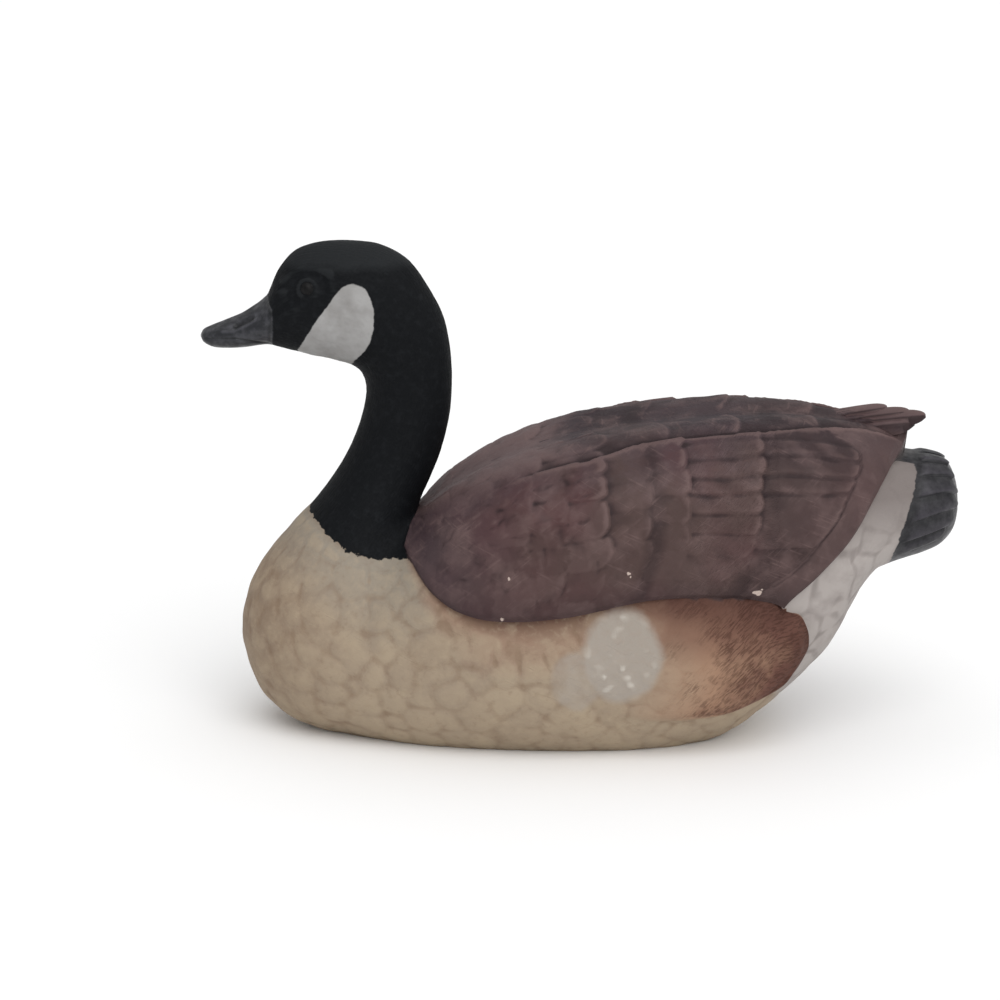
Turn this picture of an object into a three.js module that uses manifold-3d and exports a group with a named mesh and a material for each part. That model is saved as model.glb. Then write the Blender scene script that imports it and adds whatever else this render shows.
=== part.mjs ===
// A cast and painted figurine of a resting goose: one solid with a flat underside.
// Millimetres. +X points forward, towards the bill, +Y to the goose's left, +Z up.
// The origin is on the underside, under the middle of the overall length.
import * as THREE from "three";
import { mergeVertices } from "three/addons/utils/BufferGeometryUtils.js";
import Module from "manifold-3d";

// Driving dimensions
const LENGTH = 328; // bill tip to tail tip
const FLANK_THICKNESS = 5; // how far the flank feathers' rear end stands off the body
const FEATHER_STEP = 1.2; // height of a feather's tip over the next row
const FEATHER_GROOVE = 0.8; // depth of the groove between neighbours in a row
const EYE_RADIUS = 3.6;
const PLATE_ROOT = 0.15; // depth of a wing's hidden face, as a share of the way to the body's middle
const PAINTED_RESIN = { color: 0x8a7667, roughness: 0.7, metalness: 0 };

const RADIANS = Math.PI / 180;

// Smooth curve through given points: knots rise, and the slope at each is that of its neighbours.
function smoothCurve(knots, values) {
  const last = knots.length - 1;
  const slope = values.map((_, i) => {
    const before = Math.max(i - 1, 0);
    const after = Math.min(i + 1, last);
    return (values[after] - values[before]) / (knots[after] - knots[before]);
  });
  return (t) => {
    let i = 0;
    while (i < last - 1 && t > knots[i + 1]) i++;
    const span = knots[i + 1] - knots[i];
    const s = (t - knots[i]) / span;
    const s2 = s * s;
    const s3 = s2 * s;
    return (
      (2 * s3 - 3 * s2 + 1) * values[i] +
      (s3 - 2 * s2 + s) * span * slope[i] +
      (3 * s2 - 2 * s3) * values[i + 1] +
      (s3 - s2) * span * slope[i + 1]
    );
  };
}

function smoothStep(from, to, value) {
  const t = Math.min(1, Math.max(0, (value - from) / (to - from)));
  return t * t * (3 - 2 * t);
}

// The body, neck and head are one loft of upright rings, from the tail round the breast to the bill.
// Each ring: lowest point x, z; highest point x, z; half width; share of its height where it is widest;
// fullness of its lower and upper half, where 2 is an ellipse and more is squarer.
const RINGS = [
  [-164, 94, -164, 100, 5, 0.5, 2, 2], // end of the tail
  [-161.5, 86.5, -162.6, 110.5, 13, 0.5, 2.2, 2.2],
  [-156, 80.8, -158.6, 118, 19.5, 0.5, 2.3, 2.2],
  [-148.5, 77.5, -152, 120.6, 23.5, 0.49, 2.3, 2.2],
  [-141, 75.3, -145, 121.4, 26, 0.48, 2.3, 2.3],
  [-133.5, 73, -137.5, 122.3, 29, 0.47, 2.3, 2.4], // root of the tail
  [-126, 70, -130, 123.5, 33, 0.47, 2.3, 2.6],
  [-118, 59, -122, 125.5, 38.5, 0.47, 2.3, 2.8], // under the tail
  [-107, 38, -112, 128.2, 45, 0.46, 2.3, 2.9],
  [-93, 22.5, -100, 131, 50.5, 0.45, 2.3, 3],
  [-77, 8.5, -83, 133.4, 56, 0.45, 2.4, 3.1],
  [-58, -3.5, -62, 134, 61, 0.45, 2.4, 3.2],
  [-25, -11, -28, 131.6, 65.5, 0.45, 2.4, 3.2], // middle of the back
  [8, -11.5, 4, 127, 67, 0.45, 2.4, 3.1],
  [40, -10, 32, 118.2, 65, 0.46, 2.4, 2.9],
  [72, -7.5, 54, 107, 59, 0.47, 2.4, 2.6], // shoulders
  [100, -3.5, 64.5, 99.7, 52, 0.48, 2.3, 2.3],
  [124, 2, 69, 97, 46, 0.48, 2.2, 2.1],
  [139.8, 14.5, 70.6, 96.4, 42, 0.48, 2.1, 2],
  [147.6, 36, 71, 96.3, 38.5, 0.48, 2, 2], // front of the breast
  [147.1, 53, 71, 96.6, 35, 0.5, 2, 2],
  [140.4, 70, 70.9, 97.5, 31.5, 0.5, 2, 2],
  [128.7, 85.5, 70.3, 99.5, 27.5, 0.5, 2, 2], // foot of the neck
  [114, 102.5, 68.8, 103.5, 23, 0.5, 2, 2],
  [103.3, 118.3, 65.7, 110.3, 19.4, 0.5, 2, 2],
  [96.8, 132.5, 60.9, 122.7, 17.6, 0.5, 2, 2],
  [93.4, 145.5, 57, 139.5, 17, 0.5, 2, 2], // middle of the neck
  [93.4, 152.5, 56.1, 155, 16.9, 0.5, 2, 2],
  [95.6, 157.6, 57, 168.5, 17.2, 0.5, 2, 2.1],
  [100, 160.6, 59.7, 181, 18.2, 0.5, 2, 2.1],
  [105, 162.1, 65.4, 192.5, 19.5, 0.5, 2.1, 2.1], // nape
  [110.5, 163.5, 74.3, 205, 20.4, 0.5, 2.1, 2.2],
  [116, 164.5, 86, 211.8, 20.6, 0.5, 2.2, 2.2], // cheek
  [121, 165.9, 99, 213.7, 19.8, 0.5, 2.2, 2.2],
  [126, 167, 112.2, 213.2, 17.9, 0.48, 2.2, 2.1],
  [130.5, 168.2, 122.9, 209.6, 15.6, 0.45, 2.2, 2], // forehead
  [134.5, 169.1, 130.1, 201.5, 13.6, 0.42, 2.2, 1.9],
  [138.5, 168.9, 135.4, 190.6, 12.2, 0.4, 2.2, 1.8], // foot of the bill
  [145, 168, 144.3, 183.3, 11.2, 0.4, 2.2, 1.8],
  [152.5, 167.7, 153, 179.4, 10.4, 0.4, 2.2, 1.9],
  [158.5, 168.2, 159, 177, 9, 0.42, 2.2, 2],
  [162.5, 170, 162.8, 175.2, 6, 0.45, 2, 2],
  [LENGTH / 2, 172.2, LENGTH / 2, 173.6, 1.6, 0.5, 2, 2], // bill tip
];
// Rings by number: past the front of the breast the loft turns up into the neck
const BREAST_FRONT = 19;
const NAPE = 30;
const BILL_FOOT = 37;

// Distance along the loft to each ring, as the mean of the lowest and highest points' travel
const RING_AT = RINGS.reduce((at, ring, i) => {
  if (i === 0) return [0];
  const before = RINGS[i - 1];
  const low = Math.hypot(ring[0] - before[0], ring[1] - before[1]);
  const high = Math.hypot(ring[2] - before[2], ring[3] - before[3]);
  return [...at, at[i - 1] + (low + high) / 2];
}, []);
const ringCurves = RINGS[0].map((_, column) =>
  smoothCurve(
    RING_AT,
    RINGS.map((ring) => ring[column]),
  ),
);

// Point on the loft: along is the distance from the tail, girth is the angle round the ring,
// 0 at the keel, 90 on the left side and 180 on the back.
function skin(along, girth) {
  const [lowX, lowZ, highX, highZ, halfWidth, widest, lowFull, highFull] =
    ringCurves.map((curve) => curve(along));
  const height = -Math.cos(girth * RADIANS);
  const side = Math.sin(girth * RADIANS);
  const power = 2 / (height < 0 ? lowFull : highFull);
  const reach = height < 0 ? widest : 1 - widest;
  const share =
    widest + reach * Math.sign(height) * Math.pow(Math.abs(height), power);
  return new THREE.Vector3(
    lowX + (highX - lowX) * share,
    halfWidth * Math.sign(side) * Math.pow(Math.abs(side), power),
    lowZ + (highZ - lowZ) * share,
  );
}

function skinNormal(along, girth) {
  const step = 0.5;
  const forward = skin(along + step, girth).sub(skin(along - step, girth));
  const round = skin(along, girth + step).sub(skin(along, girth - step));
  return round.cross(forward).normalize();
}

// Point under the skin, the given share of the way to the middle of its ring
function core(along, girth, share) {
  const middle = skin(along, 0).lerp(skin(along, 180), 0.5);
  return skin(along, girth).lerp(middle, share);
}

// Distance along the loft at which its surface has the given x, at the given girth
function alongAtX(x, girth) {
  let near = 0;
  let far = RING_AT[BREAST_FRONT];
  for (let i = 0; i < 30; i++) {
    const middle = (near + far) / 2;
    if (skin(middle, girth).x < x) near = middle;
    else far = middle;
  }
  return (near + far) / 2;
}

// Closed geometry from points and triangles, turned so that its faces point out
function closedGeometry(points, triangles) {
  let volume = 0;
  const normal = new THREE.Vector3();
  for (const [a, b, c] of triangles) {
    normal.crossVectors(points[b], points[c]);
    volume += points[a].dot(normal);
  }
  const faces = volume < 0 ? triangles.map(([a, b, c]) => [a, c, b]) : triangles;
  const geometry = new THREE.BufferGeometry().setFromPoints(points);
  geometry.setIndex(faces.flat());
  return geometry;
}

function quad(a, b, c, d) {
  return [
    [a, b, c],
    [a, c, d],
  ];
}

// A tube of rings, each with the same number of points, closed by a fan at both ends
function tubeGeometry(rings) {
  const count = rings[0].length;
  const points = rings.flat();
  const triangles = [];
  for (let i = 0; i + 1 < rings.length; i++)
    for (let j = 0; j < count; j++) {
      const next = (j + 1) % count;
      triangles.push(
        ...quad(i * count + j, i * count + next, (i + 1) * count + next, (i + 1) * count + j),
      );
    }
  for (const [start, turn] of [
    [0, true],
    [(rings.length - 1) * count, false],
  ]) {
    const centre = new THREE.Vector3();
    for (let j = 0; j < count; j++) centre.addScaledVector(points[start + j], 1 / count);
    points.push(centre);
    for (let j = 0; j < count; j++) {
      const next = start + ((j + 1) % count);
      triangles.push(turn ? [points.length - 1, next, start + j] : [points.length - 1, start + j, next]);
    }
  }
  return closedGeometry(points, triangles);
}

// A plate between two grids of points with equal rows and columns
function plateGeometry(outer, inner) {
  const rows = outer.length;
  const columns = outer[0].length;
  const points = [...outer.flat(), ...inner.flat()];
  const other = rows * columns;
  const at = (i, j) => i * columns + j;
  const triangles = [];
  for (let i = 0; i + 1 < rows; i++)
    for (let j = 0; j + 1 < columns; j++) {
      triangles.push(...quad(at(i, j), at(i, j + 1), at(i + 1, j + 1), at(i + 1, j)));
      triangles.push(
        ...quad(
          other + at(i, j),
          other + at(i + 1, j),
          other + at(i + 1, j + 1),
          other + at(i, j + 1),
        ),
      );
    }
  for (let i = 0; i + 1 < rows; i++) {
    const end = columns - 1;
    triangles.push(...quad(at(i, 0), at(i + 1, 0), other + at(i + 1, 0), other + at(i, 0)));
    triangles.push(
      ...quad(at(i + 1, end), at(i, end), other + at(i, end), other + at(i + 1, end)),
    );
  }
  for (let j = 0; j + 1 < columns; j++) {
    const end = rows - 1;
    triangles.push(...quad(at(0, j + 1), at(0, j), other + at(0, j), other + at(0, j + 1)));
    triangles.push(
      ...quad(at(end, j), at(end, j + 1), other + at(end, j + 1), other + at(end, j)),
    );
  }
  return closedGeometry(points, triangles);
}

// A patch of the skin between four edges, each a curve of x and girth
class SkinPatch {
  constructor(edges) {
    this.edges = Object.fromEntries(
      Object.entries(edges).map(([name, points]) => {
        const knots = points.map((point) => point[0]);
        return [
          name,
          [1, 2].map((column) =>
            smoothCurve(
              knots,
              points.map((point) => point[column]),
            ),
          ),
        ];
      }),
    );
  }

  // x and girth at share a from front to rear and share b from the lower to the upper edge
  place(a, b) {
    const { lower, upper, front, rear } = this.edges;
    return [0, 1].map(
      (k) =>
        (1 - b) * lower[k](a) +
        b * upper[k](a) +
        (1 - a) * front[k](b) +
        a * rear[k](b) -
        (1 - a) * ((1 - b) * lower[k](0) + b * upper[k](0)) -
        a * ((1 - b) * lower[k](1) + b * upper[k](1)),
    );
  }

  // Point standing the given height off the skin
  point(a, b, height) {
    const [x, girth] = this.place(a, b);
    const along = alongAtX(x, girth);
    return skin(along, girth).addScaledVector(skinNormal(along, girth), height);
  }

  // Point well under the skin, for the hidden face of a plate
  under(a, b) {
    const [x, girth] = this.place(a, b);
    return core(alongAtX(x, girth), girth, PLATE_ROOT);
  }
}

// Folded wing with its half of the mantle: from the foot of the neck to the rear corner over the
// tail, and from the lower edge on the flank up to the middle of the back
const wingPatch = new SkinPatch({
  // share, x, girth
  lower: [
    [0, 76, 140],
    [0.06, 69, 122],
    [0.12, 62, 110],
    [0.18, 52, 101.5],
    [0.26, 37, 96.5],
    [0.42, 8, 95],
    [0.58, -27, 96.5],
    [0.8, -62, 94],
    [0.92, -77, 91.8],
    [1, -83, 91],
  ],
  upper: [
    [0, 70, 181],
    [0.18, 50, 181],
    [0.42, 8, 181],
    [0.65, -44, 181],
    [0.8, -78, 181],
    [0.92, -118, 181],
    [1, -140, 181],
  ],
  front: [
    [0, 76, 140],
    [1, 70, 181],
  ],
  rear: [
    [0, -83, 91],
    [0.14, -98, 93],
    [0.25, -110.5, 98.5],
    [0.37, -118.5, 107.5],
    [0.53, -126.5, 128],
    [0.66, -133, 150],
    [0.8, -138, 168],
    [1, -140.5, 181],
  ],
});
const WING_ROWS = [0.12, 0.2, 0.265, 0.33, 0.4, 0.475, 0.55, 0.617, 0.77, 0.92]; // feather tips
const WING_FEATHERS = 13; // feathers across a row
const TIP_GAP = 0.004; // share of the wing's length from a feather's tip to the next row
const TIP_ROUNDING = 0.014; // share of the wing's length that a tip is drawn back at its sides

// How far the wing stands off the body, at shares of its length, across from the lower edge
const WING_ACROSS = [0, 0.35, 0.7, 0.85, 1]; // lower edge, side, ridge, above it, middle of the back
const WING_HEIGHTS = [
  [0, [0.8, 0.8, 0.8, 0.8, 0.6]],
  [0.1, [3, 3, 3.6, 2.8, 1]],
  [0.2, [4, 4.2, 5.2, 4, 1.5]],
  [0.5, [4, 4.8, 7.2, 5.4, 2.5]],
  [0.8, [4, 4.8, 8, 7, 4.5]],
  [0.92, [4, 4.4, 7, 9, 8]],
  [1, [4, 4, 5, 7.5, 12]],
];
const wingHeightCurves = WING_ACROSS.map((_, column) =>
  smoothCurve(
    WING_HEIGHTS.map(([share]) => share),
    WING_HEIGHTS.map(([, heights]) => heights[column]),
  ),
);

function wingHeight(a, b) {
  return smoothCurve(
    WING_ACROSS,
    wingHeightCurves.map((curve) => curve(a)),
  )(b);
}

// Lines of the wing's grid from front to rear: share of the wing, the feather row, and share of that row
function wingLines() {
  const lines = [];
  let start = 0;
  WING_ROWS.forEach((tip, row) => {
    const shares = tip - start > 0.1 ? [0, 0.35, 0.7, 1] : [0, 1];
    for (const share of shares) lines.push({ at: start + (tip - start) * share, row, share });
    start = tip + TIP_GAP;
  });
  lines.push({ at: start, row: WING_ROWS.length, share: 0 });
  lines.push({ at: 1, row: WING_ROWS.length, share: 1 });
  return lines;
}

// Every other row is shifted by half a feather, but the last two rows of long feathers line up
function isShifted(row) {
  return Math.min(row, WING_ROWS.length - 2) % 2 === 1;
}

function wingGeometry() {
  const columns = 2 * WING_FEATHERS;
  const rows = wingLines().map(({ at, row, share }) =>
    Array.from({ length: columns + 1 }, (_, j) => {
      const b = j / columns;
      const atEnd = j === 0 || j === columns;
      const smoothBand = row === WING_ROWS.length;
      const isEdge = (line) => !atEnd && (j + (isShifted(line) ? 1 : 0)) % 2 === 0;
      // A tip is round: it is drawn back at the feather's edges, with the start of the next row
      const tipRow = share === 0 ? row - 1 : share === 1 && !smoothBand ? row : -1;
      const drawnBack = tipRow >= 0 && isEdge(tipRow) ? TIP_ROUNDING : 0;
      const relief = smoothBand ? 0 : FEATHER_STEP * (0.15 + 0.85 * share);
      const groove = !smoothBand && isEdge(row) ? FEATHER_GROOVE * Math.min(1, 0.4 + share) : 0;
      const a = at - drawnBack;
      return {
        outer: wingPatch.point(a, b, wingHeight(a, b) + relief - groove),
        inner: wingPatch.under(a, b),
      };
    }),
  );
  return plateGeometry(
    rows.map((row) => row.map(({ outer }) => outer)),
    rows.map((row) => row.map(({ inner }) => inner)),
  );
}

// Flank feathers: a pad below the wing that grows out of the side and ends in a rounded lobe
const flankPatch = new SkinPatch({
  lower: [
    [0, 20, 60],
    [0.5, -28, 55],
    [1, -66, 53],
  ],
  upper: [
    [0, 20, 99],
    [0.5, -35, 100],
    [1, -84, 93],
  ],
  front: [
    [0, 20, 60],
    [1, 20, 99],
  ],
  rear: [
    [0, -66, 53],
    [0.25, -82, 57.5],
    [0.5, -91, 67],
    [0.75, -93, 79],
    [1, -84, 93],
  ],
});
const FLANK_STEPS = 8;

function flankHeight(a, b) {
  const sunk = -2;
  return sunk + (FLANK_THICKNESS - sunk) * smoothStep(0, 0.8, a) * smoothStep(0, 0.35, b);
}

function flankGeometry() {
  const shares = Array.from({ length: FLANK_STEPS + 1 }, (_, i) => i / FLANK_STEPS);
  return plateGeometry(
    shares.map((a) => shares.map((b) => flankPatch.point(a, b, flankHeight(a, b)))),
    shares.map((a) => shares.map((b) => flankPatch.under(a, b))),
  );
}

// One long feather, a slab with a rounded tip, crowned across. It starts at the root, runs along
// the direction and faces the given way.
function featherGeometry({ root, direction, facing, length, width, thickness, steps = 4 }) {
  const along = direction.clone().normalize();
  const across = new THREE.Vector3().crossVectors(facing, along).normalize();
  const out = new THREE.Vector3().crossVectors(along, across).normalize();
  const sides = [-1, -0.5, 0, 0.5, 1];
  const outer = [];
  const inner = [];
  for (let i = 0; i <= steps; i++) {
    const share = Math.sin((i / steps) * 90 * RADIANS);
    const taper = Math.sqrt(Math.max(0.03, 1 - Math.pow(share, 5)));
    const spine = root.clone().addScaledVector(along, length * share);
    outer.push([]);
    inner.push([]);
    for (const side of sides) {
      const place = spine.clone().addScaledVector(across, (side * taper * width) / 2);
      const crown = thickness * (0.35 + 0.65 * (1 - side * side)) * Math.sqrt(taper);
      outer[i].push(place.clone().addScaledVector(out, crown));
      inner[i].push(place.clone().addScaledVector(out, -thickness));
    }
  }
  return plateGeometry(outer, inner);
}

// Tail: long feathers side by side round each half of the fan, each with its lower edge proud
const tailPatch = new SkinPatch({
  // share, x, girth
  lower: [
    [0, -134, 49],
    [1, -153, 56],
  ],
  upper: [
    [0, -146, 181],
    [1, -157.5, 181],
  ],
  front: [
    [0, -134, 49],
    [0.4, -138, 90],
    [0.55, -141, 108],
    [1, -146, 181],
  ],
  rear: [
    [0, -153, 56],
    [0.25, -160.5, 85],
    [0.45, -162, 111],
    [0.65, -161, 137],
    [1, -157.5, 181],
  ],
});
const TAIL_FEATHERS_A_SIDE = 6;
const TAIL_RISE = 1.5; // height of a tail feather's lower edge
const TAIL_ROUNDING = 0.1; // share of its length that a tail feather's tip is drawn back at its sides

function tailGeometry() {
  const acrossShares = [0, 0.5, 0.94]; // lower edge, middle and upper edge of a feather
  const columns = Array.from({ length: TAIL_FEATHERS_A_SIDE }, (_, feather) =>
    acrossShares.map((across) => ({ b: (feather + across) / TAIL_FEATHERS_A_SIDE, across })),
  ).flat();
  columns.push({ b: 1, across: 1 });
  const rows = [0, 0.3, 0.65, 1].map((a) =>
    columns.map(({ b, across }) => {
      const rounding = a === 1 && across !== 0.5 ? TAIL_ROUNDING : 0;
      const height = TAIL_RISE * smoothStep(0, 0.3, a) * (1 - 0.8 * across);
      return {
        outer: tailPatch.point(a - rounding, b, height),
        inner: tailPatch.under(a - rounding, b),
      };
    }),
  );
  return plateGeometry(
    rows.map((row) => row.map(({ outer }) => outer)),
    rows.map((row) => row.map(({ inner }) => inner)),
  );
}

// Wing tips: the right wing's long feathers cross over the rump, above the left's
const WING_TIPS = [
  // root, tip, width, thickness
  [[-98, -15, 128.5], [-148.5, 5, 137], 14, 3.2],
  [[-98, -17, 129.5], [-145.5, 1, 139.5], 14, 3],
  [[-98, -19, 131], [-135.5, -4, 141], 13, 2.6],
];

function wingTips() {
  return WING_TIPS.map(([from, to, width, thickness]) => {
    const root = new THREE.Vector3(...from);
    const direction = new THREE.Vector3(...to).sub(root);
    return featherGeometry({
      root,
      direction,
      facing: new THREE.Vector3(0, 0, 1),
      length: direction.length(),
      width,
      thickness,
    });
  });
}

const EYE = { x: 116.5, z: 195.5, sink: 2.4 };

// The loft's surface at the height of the eye, found down the side of the head
function eyeGeometry() {
  let best = null;
  for (let along = RING_AT[NAPE]; along < RING_AT[BILL_FOOT]; along += 0.5)
    for (let girth = 90; girth < 150; girth += 2) {
      const point = skin(along, girth);
      const miss = Math.hypot(point.x - EYE.x, point.z - EYE.z);
      if (!best || miss < best.miss) best = { miss, point };
    }
  const ball = new THREE.SphereGeometry(EYE_RADIUS, 10, 8);
  return ball.translate(best.point.x, best.point.y - EYE.sink, best.point.z);
}

// The whole loft, with more rings where they lie far apart
const RING_POINTS = 26;
const RING_SPACING = 13;

function trunkGeometry() {
  const rings = [];
  for (let i = 0; i + 1 < RINGS.length; i++) {
    const span = RING_AT[i + 1] - RING_AT[i];
    const parts = span > RING_SPACING ? 3 : 1;
    for (let part = 0; part < parts; part++) rings.push(RING_AT[i] + (span * part) / parts);
  }
  rings.push(RING_AT[RINGS.length - 1]);
  return tubeGeometry(
    rings.map((along) =>
      Array.from({ length: RING_POINTS }, (_, j) => skin(along, (360 * j) / RING_POINTS)),
    ),
  );
}

const wasm = await Module();
wasm.setup();

function solid(geometry) {
  const bare = geometry.clone();
  bare.deleteAttribute("normal");
  bare.deleteAttribute("uv");
  const merged = mergeVertices(bare, 1e-4);
  const corners = merged.index.array;
  const whole = [];
  for (let i = 0; i < corners.length; i += 3)
    if (
      corners[i] !== corners[i + 1] &&
      corners[i + 1] !== corners[i + 2] &&
      corners[i + 2] !== corners[i]
    )
      whole.push(corners[i], corners[i + 1], corners[i + 2]);
  return new wasm.Manifold(
    new wasm.Mesh({
      numProp: 3,
      vertProperties: merged.attributes.position.array,
      triVerts: new Uint32Array(whole),
    }),
  );
}

// The same geometry on the goose's right side
function mirrored(geometry) {
  const other = geometry.clone().scale(1, -1, 1);
  const index = other.index.array;
  for (let i = 0; i < index.length; i += 3)
    [index[i + 1], index[i + 2]] = [index[i + 2], index[i + 1]];
  return other;
}

function gooseSolid() {
  const pairs = [wingGeometry(), flankGeometry(), tailGeometry(), eyeGeometry()];
  let whole = solid(trunkGeometry());
  for (const geometry of [...pairs, ...pairs.map(mirrored), ...wingTips()])
    whole = whole.add(solid(geometry));
  const below = new THREE.BoxGeometry(2 * LENGTH, LENGTH, 60).translate(0, 0, -30);
  return whole.subtract(solid(below));
}

function meshGeometry(made) {
  const mesh = made.getMesh();
  const geometry = new THREE.BufferGeometry();
  geometry.setAttribute("position", new THREE.BufferAttribute(mesh.vertProperties, 3));
  geometry.setIndex(new THREE.BufferAttribute(mesh.triVerts, 1));
  geometry.computeVertexNormals();
  return geometry;
}

const goose = new THREE.Mesh(
  meshGeometry(gooseSolid()),
  new THREE.MeshStandardMaterial(PAINTED_RESIN),
);
goose.name = "goose";

const figurine = new THREE.Group();
figurine.add(goose);

export default figurine;
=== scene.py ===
"""A cast and painted figurine of a resting goose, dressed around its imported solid.

The casting is one piece: a loft from the tail round the breast to the bill, with folded wings,
flank pads, a tail and crossing wing tips grown onto it, all carved with feathers. Lengths are in
millimetres until a mesh is made. +X points forward, +Y to the goose's left and +Z up.
"""

import logging
import math
from dataclasses import dataclass, field
from enum import IntEnum
from typing import Callable

import bpy
import numpy as np
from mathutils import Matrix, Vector
from mathutils.kdtree import KDTree


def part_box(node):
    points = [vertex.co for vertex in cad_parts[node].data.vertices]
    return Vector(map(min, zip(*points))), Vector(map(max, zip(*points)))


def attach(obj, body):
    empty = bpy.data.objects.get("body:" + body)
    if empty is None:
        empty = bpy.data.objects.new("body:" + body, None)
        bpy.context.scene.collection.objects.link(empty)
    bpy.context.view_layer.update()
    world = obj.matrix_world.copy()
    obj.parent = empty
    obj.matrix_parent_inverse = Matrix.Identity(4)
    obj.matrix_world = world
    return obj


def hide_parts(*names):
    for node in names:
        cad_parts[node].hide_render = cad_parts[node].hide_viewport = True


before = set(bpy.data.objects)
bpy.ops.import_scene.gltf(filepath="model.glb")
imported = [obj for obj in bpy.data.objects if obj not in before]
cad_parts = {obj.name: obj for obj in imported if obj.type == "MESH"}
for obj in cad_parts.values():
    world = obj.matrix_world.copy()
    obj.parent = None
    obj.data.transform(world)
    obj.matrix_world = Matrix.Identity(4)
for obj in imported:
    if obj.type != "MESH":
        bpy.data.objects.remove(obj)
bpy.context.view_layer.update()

LOG = logging.getLogger("goose")
METRES = 0.001
MOST_TRIANGLES = 196_000
FAR_OUTSIDE = -1e3
GRID_STEP = 1.0

Array = np.ndarray
Curve = Callable[[Array], Array]
Tree = bpy.types.NodeTree
Node = bpy.types.Node
Marks = dict[str, object]


class Part(IntEnum):
    """Which form of the casting a point of its surface belongs to."""

    TRUNK = 0
    WING = 1
    FLANK = 2
    TAIL = 3
    TIP = 4
    EYE = 5


def smooth_curve(knots: list[float], values: list[float]) -> Curve:
    """Make a smooth curve through given points, whose slope at each is that of its neighbours.

    Args:
        knots: Places of the points, rising.
        values: The curve's value at each place.

    Returns:
        A function from places to values, for arrays.
    """
    t = np.asarray(knots, float)
    y = np.asarray(values, float)
    last = len(t) - 1
    before = np.maximum(np.arange(last + 1) - 1, 0)
    after = np.minimum(np.arange(last + 1) + 1, last)
    slope = (y[after] - y[before]) / (t[after] - t[before])

    def at(x: Array) -> Array:
        """Evaluate the curve."""
        x = np.asarray(x, float)
        i = np.clip(np.searchsorted(t, x, side="left") - 1, 0, last - 1)
        span = t[i + 1] - t[i]
        s = (x - t[i]) / span
        s2, s3 = s * s, s * s * s
        start = (2 * s3 - 3 * s2 + 1) * y[i] + (s3 - 2 * s2 + s) * span * slope[i]
        return start + (3 * s2 - 2 * s3) * y[i + 1] + (s3 - s2) * span * slope[i + 1]

    return at


def smooth_step(start: float, end: float, x: Array) -> Array:
    """Rise smoothly from 0 at start to 1 at end."""
    t = np.clip((np.asarray(x, float) - start) / (end - start), 0, 1)
    return t * t * (3 - 2 * t)


def scatter(*numbers: Array) -> Array:
    """Turn whole numbers into an even-looking spread of values from -1 to 1, the same each time."""
    mixed = sum(np.asarray(n, float) * k for n, k in zip(numbers, (12.9898, 78.233, 37.719, 4.581)))
    turned = np.sin(mixed) * 43758.5453
    return 2 * (turned - np.floor(turned)) - 1


def ripple(x: Array, y: Array, z: Array, size: float) -> Array:
    """Give a soft wandering value from about -1 to 1 whose humps are about size apart."""
    k = 2 * math.pi / size
    return (
        np.sin(k * x + 1.7 * np.sin(0.6 * k * z + 1)) * np.sin(k * z + 1.3 * np.sin(0.7 * k * y))
        + np.sin(0.8 * k * (y + x) + 2.1) * np.sin(0.9 * k * (z - 0.4 * x) + 0.5)
    ) / 2


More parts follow.
